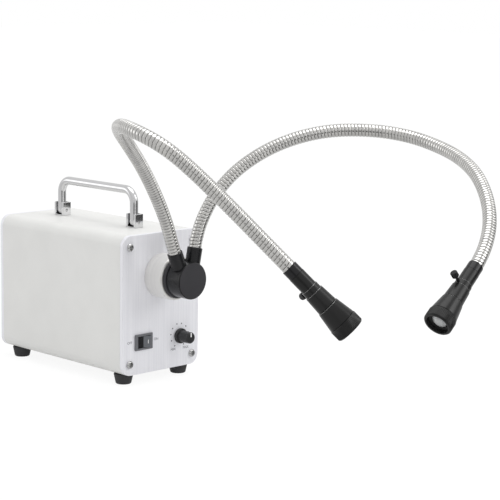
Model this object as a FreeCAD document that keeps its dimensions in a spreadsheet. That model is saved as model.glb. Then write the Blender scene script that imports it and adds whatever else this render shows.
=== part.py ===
import FreeCAD, Part
import Sketcher
import math
import os

# Fibre optic illuminator: a mains lamp box with a folding handle, a dimmer and a
# rocker switch, and a plug-in light guide with two self-supporting metal arms.
# X is to the right seen from the front, Y to the back, Z up from the bench.
# The origin lies on the bench under the middle of the case.

os.makedirs("parts", exist_ok=True)
doc = FreeCAD.newDocument("illuminator")
Vector = FreeCAD.Vector
Rotation = FreeCAD.Rotation

SIZES = {
    # case
    "case_width": 94.0,
    "case_height": 130.0,
    "case_depth": 183.0,
    "case_corner": 10.0,
    "case_wall": 2.5,
    "panel_thickness": 4.0,
    "vent_width": 3.5,
    "vent_length": 44.0,
    "vent_pitch": 9.0,
    "vent_count": 6,
    # screws and the gaps around them
    "screw_diameter": 4.0,
    "screw_head": 7.6,
    "screw_head_height": 2.6,
    "screw_inset_side": 8.5,
    "screw_inset_end": 10.6,
    "panel_screw_length": 14.0,
    "thread_gap": 0.05,
    "hole_gap": 0.2,
    "small_screw": 3.0,
    "small_head": 5.4,
    "small_head_height": 1.9,
    # feet
    "foot_height": 9.5,
    "foot_top": 18.0,
    "foot_base": 13.5,
    "foot_recess": 9.0,
    "foot_web": 4.0,
    "foot_inset_side": 13.0,
    "foot_inset_front": 13.5,
    "foot_inset_rear": 16.5,
    "foot_screw_length": 7.0,
    # light port
    "port_drop": 40.0,
    "port_diameter": 41.5,
    "port_length": 22.0,
    "port_chamfer": 1.2,
    "spigot_diameter": 29.6,
    "spigot_inside": 7.5,
    "nut_thickness": 5.0,
    "nut_across": 42.0,
    # light engine
    "standoff_length": 21.5,
    "standoff_diameter": 6.0,
    "standoff_side": 25.0,
    "standoff_rise": 24.0,
    "stud_seat": 2.0,
    "sink_size": 60.0,
    "sink_base": 6.0,
    "fin_depth": 30.0,
    "fin_thickness": 2.0,
    "fin_pitch": 5.8,
    "fin_count": 11,
    "star_diameter": 30.0,
    "star_thickness": 1.6,
    "emitter_diameter": 10.0,
    "lens_diameter": 24.0,
    "lens_thickness": 6.3,
    "lens_radius": 21.0,
    "tube_diameter": 36.0,
    "tube_wall": 2.4,
    # fan
    "fan_size": 60.0,
    "fan_thickness": 15.0,
    "fan_bore": 57.0,
    "fan_hole_inset": 5.0,
    "fan_hub": 28.0,
    "fan_shaft": 3.0,
    "blade_count": 7,
    "blade_thickness": 1.2,
    "blade_pitch": 38.0,
    "blade_gap": 1.0,
    "grille_ring": 5.0,
    "grille_bar": 3.0,
    # driver board
    "board_gap": 2.0,
    "board_length": 110.0,
    "board_thickness": 1.6,
    "board_lift": 8.0,
    "board_shift": 5.0,
    "board_hole_inset": 5.0,
    "core_length": 24.0,
    "core_height": 20.0,
    "coil_length": 30.0,
    "coil_height": 15.0,
    "coil_shift": 20.0,
    "can_diameter": 16.0,
    "can_height": 25.0,
    "can_spacing": 20.0,
    "can_shift": 20.0,
    "strip_width": 24.0,
    "strip_depth": 9.0,
    "strip_height": 11.0,
    "strip_inset": 11.0,
    # rocker switch
    "switch_x": -22.0,
    "switch_height": 30.1,
    "bezel_width": 21.0,
    "bezel_height": 15.0,
    "bezel_thickness": 1.8,
    "switch_width": 18.9,
    "switch_tall": 12.6,
    "switch_depth": 20.0,
    "switch_tab": 9.0,
    "switch_tab_width": 6.0,
    "switch_tab_thickness": 0.8,
    "switch_tab_spacing": 10.0,
    "rocker_well_width": 15.2,
    "rocker_well_tall": 11.2,
    "rocker_width": 13.4,
    "rocker_gap": 0.3,
    "rocker_tilt": 11.8,
    "rocker_rise": 3.6,
    "rocker_waist": 2.2,
    "rocker_pin": 2.0,
    "running_gap": 0.04,
    # dimmer
    "dimmer_x": 23.4,
    "dimmer_height": 29.5,
    "knob_skirt": 14.2,
    "knob_skirt_depth": 3.0,
    "knob_edge": 0.4,
    "knob_body": 10.6,
    "knob_length": 15.5,
    "knob_lift": 0.5,
    "knob_cavity": 2.4,
    "shaft_diameter": 6.0,
    "bushing_diameter": 7.0,
    "pot_diameter": 16.0,
    "pot_depth": 9.0,
    "lug_width": 12.0,
    "lug_length": 8.0,
    # mains inlet
    "inlet_height": 26.0,
    "inlet_width": 27.0,
    "inlet_tall": 19.8,
    "inlet_depth": 23.0,
    "inlet_flange_width": 50.0,
    "inlet_flange_tall": 22.5,
    "inlet_flange": 2.4,
    "inlet_screw_span": 40.0,
    "inlet_wall": 1.6,
    "inlet_floor": 5.0,
    "inlet_pin_length": 14.0,
    "inlet_screw_length": 9.0,
    "inlet_pin_width": 2.0,
    "inlet_pin_height": 4.0,
    "inlet_pin_spacing": 14.0,
    "inlet_pin_step": 5.0,
    # handle
    "handle_span": 107.0,
    "handle_rise": 34.7,
    "bar_diameter": 8.0,
    "handle_bend": 12.0,
    "pivot_height": 5.2,
    "pin_diameter": 3.0,
    "bracket_depth": 9.6,
    "bracket_width": 13.6,
    "bracket_height": 13.0,
    "bracket_back": 1.2,
    "bracket_gap": 0.3,
    "stud_length": 9.0,
    # light guide
    "plug_diameter": 20.0,
    "plug_bore": 10.0,
    "plug_length": 31.5,
    "guide_gap": 0.05,
    "flange_diameter": 37.0,
    "flange_thickness": 3.5,
    "hub_diameter": 16.0,
    "hub_length": 5.0,
    "clip_thickness": 1.2,
    "face_gap": 0.1,
    "head_diameter": 34.0,
    "head_length": 17.3,
    "head_wall": 3.0,
    "head_roll": 5.15,
    "collar_lean": 16.55,
    "collar_cross": 14.4,
    "collar_reach": 44.2,
    "collar_diameter": 14.0,
    "collar_grip": 8.0,
    "saddle_room": 5.0,
    "fit_gap": 0.05,
    # arms
    "hose_diameter": 12.0,
    "hose_groove": 0.8,
    "hose_bore": 9.0,
    "fibre_diameter": 8.0,
    "fibre_room": 0.3,
    "rib_pitch": 11.5,
    "base_flex": 60.0,
    "crown_flex": 70.0,
    "tip_flex": 50.0,
    "base_straight": 8.0,
    "tip_straight": 5.1,
    "hose_seat": 0.25,
    # lens heads
    "socket_diameter": 13.2,
    "socket_length": 8.0,
    "tip_diameter": 8.0,
    "tip_length": 36.0,
    "sleeve_diameter": 13.5,
    "sleeve_end": 22.0,
    "step_diameter": 14.6,
    "step_end": 27.2,
    "barrel_rear": 16.0,
    "barrel_front": 17.6,
    "barrel_end": 42.0,
    "cone_rear": 18.7,
    "cone_front": 23.6,
    "cone_end": 58.4,
    "ring_diameter": 24.4,
    "ring_length": 9.9,
    "window_diameter": 13.0,
    "front_lens": 16.0,
    "front_lens_thickness": 4.5,
    "front_lens_radius": 13.0,
    "thumb_place": 24.7,
    "thumb_stem": 2.5,
    "thumb_head": 6.0,
    "thumb_rise": 11.5,
    "thumb_length": 5.0,
}

# Hand-chosen corners of each arm, from the top of its collar to its lens head.
ARM_CORNERS = {
    "left": [
        (-12.0, -1.5, 30.5),
        (-32.5, -8.5, 59.0),
        (-58.0, -20.5, 84.5),
        (-88.0, -37.5, 106.0),
        (-120.0, -62.5, 122.0),
        (-148.0, -96.5, 130.0),
        (-159.0, -128.5, 128.0),
        (-153.0, -151.5, 119.0),
        (-140.0, -166.5, 104.0),
        (-121.0, -191.5, 75.0),
        (-103.5, -215.0, 46.5),
        (-92.0, -231.0, 27.5),
    ],
    "right": [
        (6.5, -1.5, 25.0),
        (18.0, -7.0, 49.0),
        (37.0, -20.0, 74.0),
        (64.0, -42.0, 95.0),
        (95.0, -70.0, 107.0),
        (126.0, -101.0, 108.0),
        (145.0, -129.0, 103.5),
        (147.5, -158.5, 97.0),
        (140.0, -190.0, 90.0),
        (126.0, -221.0, 79.0),
        (108.0, -247.0, 62.0),
        (89.5, -265.0, 44.5),
        (69.5, -276.5, 29.0),
        (50.0, -281.5, 14.5),
    ],
}
# Which way each lens head points, and which side its thumbscrew is on.
HEAD_AIM = {"left": (33.0, -37.0, -49.0), "right": (-56.9, -5.9, -42.2)}
THUMB_SIDE = {"left": (0.3, 0.9, -0.5), "right": (-0.6, 0.1, 0.8)}
ARM_SIGN = {"left": -1, "right": 1}

sheet = doc.addObject("Spreadsheet::Sheet", "sizes")
for row, (alias, number) in enumerate(SIZES.items(), start=1):
    sheet.set("A%d" % row, alias)
    sheet.set("B%d" % row, str(number))
    sheet.setAlias("B%d" % row, alias)
doc.recompute()


class Size:
    """A length that knows its number now and its formula in the sheet."""

    def __init__(self, now, text):
        self.now = now
        self.text = text

    def __add__(self, other):
        return Size(self.now + number_of(other), "(%s + %s)" % (self.text, text_of(other)))

    def __radd__(self, other):
        return self + other

    def __sub__(self, other):
        return Size(self.now - number_of(other), "(%s - %s)" % (self.text, text_of(other)))

    def __rsub__(self, other):
        return Size(number_of(other) - self.now, "(%s - %s)" % (text_of(other), self.text))

    def __mul__(self, other):
        return Size(self.now * number_of(other), "(%s * %s)" % (self.text, text_of(other)))

    def __rmul__(self, other):
        return self * other

    def __truediv__(self, other):
        return Size(self.now / number_of(other), "(%s / %s)" % (self.text, text_of(other)))

    def __neg__(self):
        return Size(-self.now, "(0 - %s)" % self.text)


def number_of(value):
    return value.now if isinstance(value, Size) else float(value)


def text_of(value):
    return value.text if isinstance(value, Size) else repr(float(value))


class Sizes:
    """The sheet's cells by name."""


dim = Sizes()
for alias in SIZES:
    setattr(dim, alias, Size(float(getattr(sheet, alias)), "sizes.%s" % alias))

# Places that several pieces share.
case_top = dim.foot_height + dim.case_height
front_face = -dim.case_depth / 2
front_back = front_face + dim.panel_thickness
rear_face = dim.case_depth / 2
rear_back = rear_face - dim.panel_thickness
port_height = dim.case_height - dim.port_drop
port_z = dim.foot_height + port_height
port_front = front_face - dim.port_length
spigot_end = front_back + dim.spigot_inside
switch_z = dim.foot_height + dim.switch_height
dimmer_z = dim.foot_height + dim.dimmer_height
inlet_z = dim.foot_height + dim.inlet_height
screw_x = dim.case_width / 2 - dim.screw_inset_side
screw_low = dim.screw_inset_end
screw_high = dim.case_height - dim.screw_inset_end
channel = (dim.screw_inset_side - dim.case_wall) * 2 + 1
board_width = (screw_x - channel / 2 - dim.board_gap) * 2
sink_face = front_back + dim.standoff_length
floor_z = dim.foot_height + dim.case_wall
roof_z = case_top - dim.case_wall
half_span = dim.handle_span / 2
pivot_z = case_top + dim.pivot_height

UPWARD = Rotation(Vector(1, 0, 0), 0)
FORWARD = Rotation(Vector(1, 0, 0), 90)
BACKWARD = Rotation(Vector(1, 0, 0), -90)
DOWNWARD = Rotation(Vector(1, 0, 0), 180)

nodes = {}
case_screw_set = []
small_screw_set = []
standoff_set = []


def keep(piece, label):
    """Names a finished sub-part, which is then written to its own file."""
    piece.Label = label
    nodes[label] = piece
    return piece


def bind(piece, name, value):
    if isinstance(value, Size):
        piece.setExpression(name, value.text)
    else:
        setattr(piece, name, value)


def put(piece, at=(0, 0, 0), facing=UPWARD):
    """Places a piece, with its X, Y and Z tied to the sheet."""
    corner = Vector(*[number_of(value) for value in at])
    piece.Placement = FreeCAD.Placement(corner, facing)
    for letter, value in zip("xyz", at):
        if isinstance(value, Size):
            piece.setExpression("Placement.Base.%s" % letter, value.text)
    return piece


def block(name, size, at):
    """A box centred on X and Y over its lowest point."""
    piece = doc.addObject("Part::Box", name)
    for edge, value in zip(("Length", "Width", "Height"), size):
        bind(piece, edge, value)
    return put(piece, (at[0] - size[0] / 2, at[1] - size[1] / 2, at[2]))


def rod(name, radius, length, at, facing=UPWARD):
    piece = doc.addObject("Part::Cylinder", name)
    bind(piece, "Radius", radius)
    bind(piece, "Height", length)
    return put(piece, at, facing)


def fuse(name, pieces):
    piece = doc.addObject("Part::MultiFuse", name)
    piece.Shapes = pieces
    return piece


def cut(name, base, tools):
    tool = tools[0] if len(tools) == 1 else fuse(name + "_tools", tools)
    piece = doc.addObject("Part::Cut", name)
    piece.Base = base
    piece.Tool = tool
    return piece


def group(name, pieces):
    """Several separate solids in one node."""
    piece = doc.addObject("Part::Compound", name)
    piece.Links = pieces
    return piece


def sketch_on(body, role, name):
    plane = [item for item in body.Origin.OriginFeatures if item.Role == role][0]
    sketch = body.newObject("Sketcher::SketchObject", name)
    sketch.AttachmentSupport = (plane, [""])
    sketch.MapMode = "FlatFace"
    return sketch


def fix(sketch, kind, first, value):
    """Holds a sketch point at a signed distance from an axis."""
    axis = -2 if kind == "DistanceX" else -1
    now = number_of(value)
    if abs(now) < 1e-9:
        sketch.addConstraint(Sketcher.Constraint("PointOnObject", first[0], first[1], axis))
        return
    if now > 0:
        ends = (-1, 1) + first
        size = value
    else:
        ends = first + (-1, 1)
        size = -value
    index = sketch.addConstraint(Sketcher.Constraint(kind, *ends, number_of(size)))
    if isinstance(size, Size):
        sketch.setExpression("Constraints[%d]" % index, size.text)


def draw_outline(sketch, points):
    """A closed outline of straight edges through points of two sizes each."""
    spots = [Vector(number_of(a), number_of(b), 0) for a, b in points]
    first = sketch.GeometryCount
    count = len(spots)
    for i, spot in enumerate(spots):
        sketch.addGeometry(Part.LineSegment(spot, spots[(i + 1) % count]), False)
    for i in range(count):
        after = first + (i + 1) % count
        sketch.addConstraint(Sketcher.Constraint("Coincident", first + i, 2, after, 1))
    for i, (a, b) in enumerate(points):
        fix(sketch, "DistanceX", (first + i, 1), a)
        fix(sketch, "DistanceY", (first + i, 1), b)


def draw_circle(sketch, x, y, diameter):
    now = number_of(diameter)
    centre = Vector(number_of(x), number_of(y), 0)
    index = sketch.addGeometry(Part.Circle(centre, Vector(0, 0, 1), now / 2), False)
    size = sketch.addConstraint(Sketcher.Constraint("Diameter", index, now))
    if isinstance(diameter, Size):
        sketch.setExpression("Constraints[%d]" % size, diameter.text)
    fix(sketch, "DistanceX", (index, 3), x)
    fix(sketch, "DistanceY", (index, 3), y)


def draw_rectangle(sketch, x, y, width, height):
    left, right = x - width / 2, x + width / 2
    low, high = y - height / 2, y + height / 2
    draw_outline(sketch, [(left, low), (right, low), (right, high), (left, high)])


def draw_rounded(sketch, width, low, high, radius):
    """A rectangle with round corners, centred on the sketch's upright axis."""
    x = number_of(width) / 2
    z0, z1, r = number_of(low), number_of(high), number_of(radius)
    quarter = math.pi / 2
    edges = [
        Part.LineSegment(Vector(-x + r, z0, 0), Vector(x - r, z0, 0)),
        Part.LineSegment(Vector(x, z0 + r, 0), Vector(x, z1 - r, 0)),
        Part.LineSegment(Vector(x - r, z1, 0), Vector(-x + r, z1, 0)),
        Part.LineSegment(Vector(-x, z1 - r, 0), Vector(-x, z0 + r, 0)),
    ]
    corners = [(x - r, z0 + r, 3), (x - r, z1 - r, 0), (-x + r, z1 - r, 1), (-x + r, z0 + r, 2)]
    for edge in edges:
        sketch.addGeometry(edge, False)
    for cx, cz, turn in corners:
        circle = Part.Circle(Vector(cx, cz, 0), Vector(0, 0, 1), r)
        sketch.addGeometry(Part.ArcOfCircle(circle, turn * quarter, (turn + 1) * quarter), False)
    for i in range(4):
        after = (i + 1) % 4
        sketch.addConstraint(Sketcher.Constraint("Tangent", i, 2, 4 + i, 1))
        sketch.addConstraint(Sketcher.Constraint("Tangent", 4 + i, 2, after, 1))
    for i in (0, 2):
        sketch.addConstraint(Sketcher.Constraint("Horizontal", i))
    for i in (1, 3):
        sketch.addConstraint(Sketcher.Constraint("Vertical", i))
    for i in (5, 6, 7):
        sketch.addConstraint(Sketcher.Constraint("Equal", 4, i))
    index = sketch.addConstraint(Sketcher.Constraint("Radius", 4, r))
    sketch.setExpression("Constraints[%d]" % index, radius.text)
    fix(sketch, "DistanceX", (1, 1), width / 2)
    fix(sketch, "DistanceX", (3, 1), -width / 2)
    fix(sketch, "DistanceY", (0, 1), low)
    fix(sketch, "DistanceY", (2, 1), high)


def pad(body, sketch, length, name):
    feature = body.newObject("PartDesign::Pad", name)
    feature.Profile = sketch
    bind(feature, "Length", length)
    return feature


def cut_through(body, sketch, name):
    feature = body.newObject("PartDesign::Pocket", name)
    feature.Profile = sketch
    feature.Type = "ThroughAll"
    feature.SideType = "Symmetric"
    return feature


def turned(name, profile, at, facing=UPWARD):
    """A piece made on a lathe: (radius, height) corners spun about its own Z."""
    body = doc.addObject("PartDesign::Body", name)
    sketch = sketch_on(body, "XZ_Plane", name + "_profile")
    draw_outline(sketch, profile)
    spin = body.newObject("PartDesign::Revolution", name + "_spin")
    spin.Profile = sketch
    spin.ReferenceAxis = (sketch, ["V_Axis"])
    spin.Angle = 360
    return put(body, at, facing)


def pan_screw(name, shank, length, head, head_height, at, facing):
    """A pan head screw whose head sits on at, with its shank behind."""
    profile = [
        (0, -length),
        (shank / 2, -length),
        (shank / 2, 0),
        (head / 2, 0),
        (head / 2, head_height * 0.45),
        (head * 0.36, head_height * 0.88),
        (0, head_height),
    ]
    return turned(name, profile, at, facing)


def case_screw(name, at, facing, length):
    head, rise = dim.screw_head, dim.screw_head_height
    screw = pan_screw(name, dim.screw_diameter, length, head, rise, at, facing)
    case_screw_set.append(screw)


def small_screw(name, at, facing, length):
    head, rise = dim.small_head, dim.small_head_height
    screw = pan_screw(name, dim.small_screw, length, head, rise, at, facing)
    small_screw_set.append(screw)


def hexagon(name, across, height, at, facing=UPWARD):
    piece = doc.addObject("Part::Prism", name)
    piece.Polygon = 6
    bind(piece, "Circumradius", across / 2)
    bind(piece, "Height", height)
    return put(piece, at, facing)


# Case


def make_sleeve():
    """The one-piece case, with a round screw channel in each corner."""
    body = doc.addObject("PartDesign::Body", "sleeve")
    length = dim.case_depth - dim.panel_thickness * 2
    outline = sketch_on(body, "XZ_Plane", "sleeve_outline")
    draw_rounded(outline, dim.case_width, 0, dim.case_height, dim.case_corner)
    pad(body, outline, length, "sleeve_outer")
    hollow = sketch_on(body, "XZ_Plane", "sleeve_hollow")
    inner_width = dim.case_width - dim.case_wall * 2
    inner_corner = dim.case_corner - dim.case_wall
    draw_rounded(hollow, inner_width, dim.case_wall, dim.case_height - dim.case_wall, inner_corner)
    cut_through(body, hollow, "sleeve_inner")
    channels = sketch_on(body, "XZ_Plane", "sleeve_channels")
    holes = sketch_on(body, "XZ_Plane", "sleeve_holes")
    for x in (-screw_x, screw_x):
        for z in (screw_low, screw_high):
            draw_circle(channels, x, z, channel)
            draw_circle(holes, x, z, dim.screw_diameter + dim.thread_gap * 2)
    pad(body, channels, length, "sleeve_bosses")
    cut_through(body, holes, "sleeve_bores")
    put(body, (0, rear_back, dim.foot_height))
    slot = (dim.vent_length, dim.vent_width, dim.case_wall * 3)
    below = dim.foot_height - dim.case_wall
    tools = []
    for i in range(int(dim.vent_count.now)):
        y = front_back + dim.vent_length + dim.vent_pitch * i
        tools.append(block("sleeve_vent_%d" % i, slot, (0, y, below)))
    for name, x, y in foot_places():
        radius = dim.screw_diameter / 2 + dim.thread_gap
        tools.append(rod("floor_" + name, radius, dim.case_wall * 3, (x, y, dim.foot_height - 1)))
    for y in (-half_span, half_span):
        radius = dim.screw_diameter / 2 + dim.hole_gap
        tools.append(rod("roof_hole", radius, dim.case_wall * 3, (handle_x, y, roof_z - 1)))
    for x, y in board_holes():
        radius = dim.small_screw / 2 + dim.thread_gap
        tools.append(rod("post_seat", radius, dim.case_wall * 3, (x, y, dim.foot_height - 1)))
    keep(cut("sleeve_cut", body, tools), "case_sleeve")


def foot_places():
    side = dim.case_width / 2 - dim.foot_inset_side
    front = front_face + dim.foot_inset_front
    rear = rear_face - dim.foot_inset_rear
    return [
        ("front_left", -side, front),
        ("front_right", side, front),
        ("rear_left", -side, rear),
        ("rear_right", side, rear),
    ]


def board_holes():
    side = board_width / 2 - dim.board_hole_inset
    end = dim.board_length / 2 - dim.board_hole_inset
    return [(x, dim.board_shift + y) for x in (-side, side) for y in (-end, end)]


def make_front_panel():
    body = doc.addObject("PartDesign::Body", "front_plate")
    outline = sketch_on(body, "XZ_Plane", "front_outline")
    draw_rounded(outline, dim.case_width, 0, dim.case_height, dim.case_corner)
    pad(body, outline, dim.panel_thickness, "front_blank")
    holes = sketch_on(body, "XZ_Plane", "front_holes")
    draw_circle(holes, 0, port_height, dim.spigot_diameter + dim.fit_gap * 2)
    bushing = dim.bushing_diameter + dim.hole_gap * 2
    draw_circle(holes, dim.dimmer_x, dim.dimmer_height, bushing)
    for x in (-screw_x, screw_x):
        for z in (screw_low, screw_high):
            draw_circle(holes, x, z, dim.screw_diameter + dim.hole_gap * 2)
    cut_through(body, holes, "front_bores")
    opening = sketch_on(body, "XZ_Plane", "front_opening")
    width = dim.switch_width + dim.hole_gap
    tall = dim.switch_tall + dim.hole_gap
    draw_rectangle(opening, dim.switch_x, dim.switch_height, width, tall)
    cut_through(body, opening, "front_window")
    put(body, (0, front_back, dim.foot_height))
    radius = dim.small_screw / 2
    seats = [
        rod("engine_seat", radius, dim.stud_seat, (x, front_back, z), FORWARD)
        for x, z in engine_spots()
    ]
    keep(cut("front_cut", body, seats), "front_panel")


def make_rear_panel():
    """The back plate, with the fan grille sawn through as broken rings."""
    body = doc.addObject("PartDesign::Body", "rear_plate")
    outline = sketch_on(body, "XZ_Plane", "rear_outline")
    draw_rounded(outline, dim.case_width, 0, dim.case_height, dim.case_corner)
    pad(body, outline, dim.panel_thickness, "rear_blank")
    holes = sketch_on(body, "XZ_Plane", "rear_holes")
    for x in (-screw_x, screw_x):
        for z in (screw_low, screw_high):
            draw_circle(holes, x, z, dim.screw_diameter + dim.hole_gap * 2)
    corner = dim.fan_size / 2 - dim.fan_hole_inset
    for x in (-corner, corner):
        for z in (-corner, corner):
            draw_circle(holes, x, port_height + z, dim.small_screw + dim.hole_gap * 2)
    for x in (-dim.inlet_screw_span / 2, dim.inlet_screw_span / 2):
        draw_circle(holes, x, dim.inlet_height, dim.small_screw + dim.hole_gap * 2)
    cut_through(body, holes, "rear_bores")
    opening = sketch_on(body, "XZ_Plane", "rear_opening")
    width = dim.inlet_width + dim.hole_gap
    draw_rectangle(opening, 0, dim.inlet_height, width, dim.inlet_tall + dim.hole_gap)
    cut_through(body, opening, "rear_window")
    put(body, (0, rear_face, dim.foot_height))
    rings = []
    depth = dim.panel_thickness * 2
    start = rear_face + dim.panel_thickness / 2
    for i in range(3):
        outer_radius = dim.fan_bore / 2 - (dim.grille_ring + dim.grille_bar) * i
        outer = rod("grille_outer_%d" % i, outer_radius, depth, (0, start, port_z), FORWARD)
        inner_radius = outer_radius - dim.grille_ring
        inner = rod("grille_inner_%d" % i, inner_radius, depth, (0, start, port_z), FORWARD)
        rings.append(cut("grille_ring_%d" % i, outer, [inner]))
    spokes = []
    for i, turn in enumerate((45, 135)):
        spoke = doc.addObject("Part::Box", "grille_spoke_%d" % i)
        bind(spoke, "Length", dim.fan_bore)
        bind(spoke, "Width", dim.grille_bar)
        bind(spoke, "Height", depth)
        facing = FORWARD * Rotation(Vector(0, 0, 1), turn)
        reach = Vector(-dim.fan_bore.now / 2, -dim.grille_bar.now / 2, 0)
        middle = Vector(0, start.now, port_z.now)
        spoke.Placement = FreeCAD.Placement(middle + facing.multVec(reach), facing)
        spokes.append(spoke)
    grille = cut("grille", fuse("grille_rings", rings), spokes)
    keep(cut("rear_cut", body, [grille]), "rear_panel")


def make_case_screws():
    length = dim.panel_screw_length
    for x in (-screw_x, screw_x):
        for z in (screw_low, screw_high):
            height = dim.foot_height + z
            case_screw("front_screw", (x, front_face, height), FORWARD, length)
            case_screw("rear_screw", (x, rear_face, height), BACKWARD, length)


def make_feet():
    """Tapered rubber feet, each with its screw up in a recess."""
    feet = []
    hole = dim.screw_diameter / 2 + dim.hole_gap
    seat = dim.foot_height - dim.foot_web
    for name, x, y in foot_places():
        profile = [
            (dim.foot_recess / 2, 0),
            (dim.foot_base / 2, 0),
            (dim.foot_base / 2 + 0.6, 0.8),
            (dim.foot_top / 2, dim.foot_height - 1),
            (dim.foot_top / 2, dim.foot_height),
            (hole, dim.foot_height),
            (hole, seat),
            (dim.foot_recess / 2, seat),
        ]
        feet.append(turned("foot_" + name, profile, (x, y, 0)))
        case_screw("foot_screw", (x, y, seat), DOWNWARD, dim.foot_screw_length)
    keep(group("foot_set", feet), "rubber_feet")


# Light port and light engine


def make_port():
    """The turned nose that takes the light guide, with a threaded spigot behind."""
    inside = dim.panel_thickness + dim.spigot_inside
    total = inside + dim.port_length
    bore = dim.plug_diameter / 2 + dim.guide_gap
    nose = dim.port_diameter / 2
    profile = [
        (bore, 0),
        (dim.spigot_diameter / 2, 0),
        (dim.spigot_diameter / 2, inside),
        (nose, inside),
        (nose, total - dim.port_chamfer),
        (nose - dim.port_chamfer, total),
        (bore + dim.port_chamfer / 2, total),
        (bore, total - dim.port_chamfer / 2),
    ]
    keep(turned("port_body", profile, (0, spigot_end, port_z), FORWARD), "light_port")
    nut_at = (0, front_back + dim.nut_thickness, port_z)
    nut = hexagon("nut_blank", dim.nut_across, dim.nut_thickness, nut_at, FORWARD)
    radius = dim.spigot_diameter / 2 + dim.thread_gap
    bore_rod = rod("nut_bore", radius, dim.nut_thickness, nut_at, FORWARD)
    keep(cut("nut_cut", nut, [bore_rod]), "port_lock_nut")


def engine_spots():
    low, high = port_z - dim.standoff_rise, port_z + dim.standoff_rise
    return [(x, z) for x in (-dim.standoff_side, dim.standoff_side) for z in (low, high)]


def make_light_engine():
    """Heat sink, light source and condenser behind the port, on four standoffs."""
    body = doc.addObject("PartDesign::Body", "sink_body")
    base = sketch_on(body, "XY_Plane", "sink_outline")
    draw_rectangle(base, 0, dim.sink_base / 2, dim.sink_size, dim.sink_base)
    pad(body, base, dim.sink_size, "sink_plate")
    fin = sketch_on(body, "XY_Plane", "fin_outline")
    first = dim.fin_thickness / 2 - dim.sink_size / 2
    middle = dim.sink_base + dim.fin_depth / 2 - 0.5
    draw_rectangle(fin, first, middle, dim.fin_thickness, dim.fin_depth + 1)
    tooth = pad(body, fin, dim.sink_size, "sink_fin")
    row = body.newObject("PartDesign::LinearPattern", "sink_fins")
    row.Originals = [tooth]
    row.Direction = (fin, ["H_Axis"])
    bind(row, "Length", dim.fin_pitch * (dim.fin_count - 1))
    row.setExpression("Occurrences", dim.fin_count.text)
    body.Tip = row
    put(body, (0, sink_face, port_z - dim.sink_size / 2))
    radius = dim.small_screw / 2
    depth = dim.sink_base + 1
    seats = [
        rod("sink_seat", radius, depth, (x, sink_face + dim.sink_base, z), FORWARD)
        for x, z in engine_spots()
    ]
    keep(cut("sink_cut", body, seats), "led_heatsink")
    for x, z in engine_spots():
        thick = dim.standoff_diameter / 2
        post = rod("engine_post", thick, dim.standoff_length, (x, sink_face, z), FORWARD)
        reach = dim.sink_base + dim.standoff_length + dim.stud_seat
        stud = rod("engine_stud", radius, reach, (x, sink_face + dim.sink_base, z), FORWARD)
        standoff_set.append(fuse("engine_standoff", [post, stud]))
    radius = dim.star_diameter / 2
    star = rod("star", radius, dim.star_thickness, (0, sink_face, port_z), FORWARD)
    emitter = dim.emitter_diameter / 2
    dome = [
        (0, 0),
        (emitter, 0),
        (emitter, 1.0),
        (emitter * 0.8, 1.0),
        (emitter * 0.75, 2.0),
        (emitter * 0.5, 3.0),
        (0, 3.5),
    ]
    chip = (0, sink_face - dim.star_thickness, port_z)
    emitter_body = turned("emitter_body", dome, chip, FORWARD)
    keep(group("led_pair", [star, emitter_body]), "led_module")
    reach = sink_face - spigot_end
    outer = dim.tube_diameter / 2
    back = dim.star_diameter / 2 + dim.hole_gap
    seat = dim.lens_diameter / 2 + dim.fit_gap
    lip = dim.lens_diameter / 2 - 1.5
    shoulder = dim.lens_thickness + 1.5
    profile = [
        (back, 0),
        (outer, 0),
        (outer, reach),
        (lip, reach),
        (lip, reach - 1.5),
        (seat, reach - 1.5),
        (seat, reach - shoulder),
        (back, reach - shoulder),
    ]
    keep(turned("tube_body", profile, (0, sink_face, port_z), FORWARD), "lens_tube")
    make_lens(
        "condenser",
        dim.lens_diameter,
        dim.lens_thickness,
        dim.lens_radius,
        Vector(0, spigot_end.now + 1.5 + dim.lens_thickness.now, port_z.now),
        FORWARD,
        "condenser_lens",
    )


def make_lens(name, diameter, thickness, radius, at, facing, label):
    """A plano-convex lens: the cap of a ball, cut to its edge, flat side at the back."""
    spin = FreeCAD.Placement(at, facing)
    edge = doc.addObject("Part::Cylinder", name + "_edge")
    bind(edge, "Radius", diameter / 2)
    bind(edge, "Height", thickness)
    edge.Placement = spin
    ball = doc.addObject("Part::Sphere", name + "_ball")
    bind(ball, "Radius", radius)
    centre = Vector(0, 0, thickness.now - radius.now)
    ball.Placement = FreeCAD.Placement(spin.multVec(centre), facing)
    lens = doc.addObject("Part::Common", name + "_common")
    lens.Base = edge
    lens.Tool = ball
    return keep(lens, label)


# Fan


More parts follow.
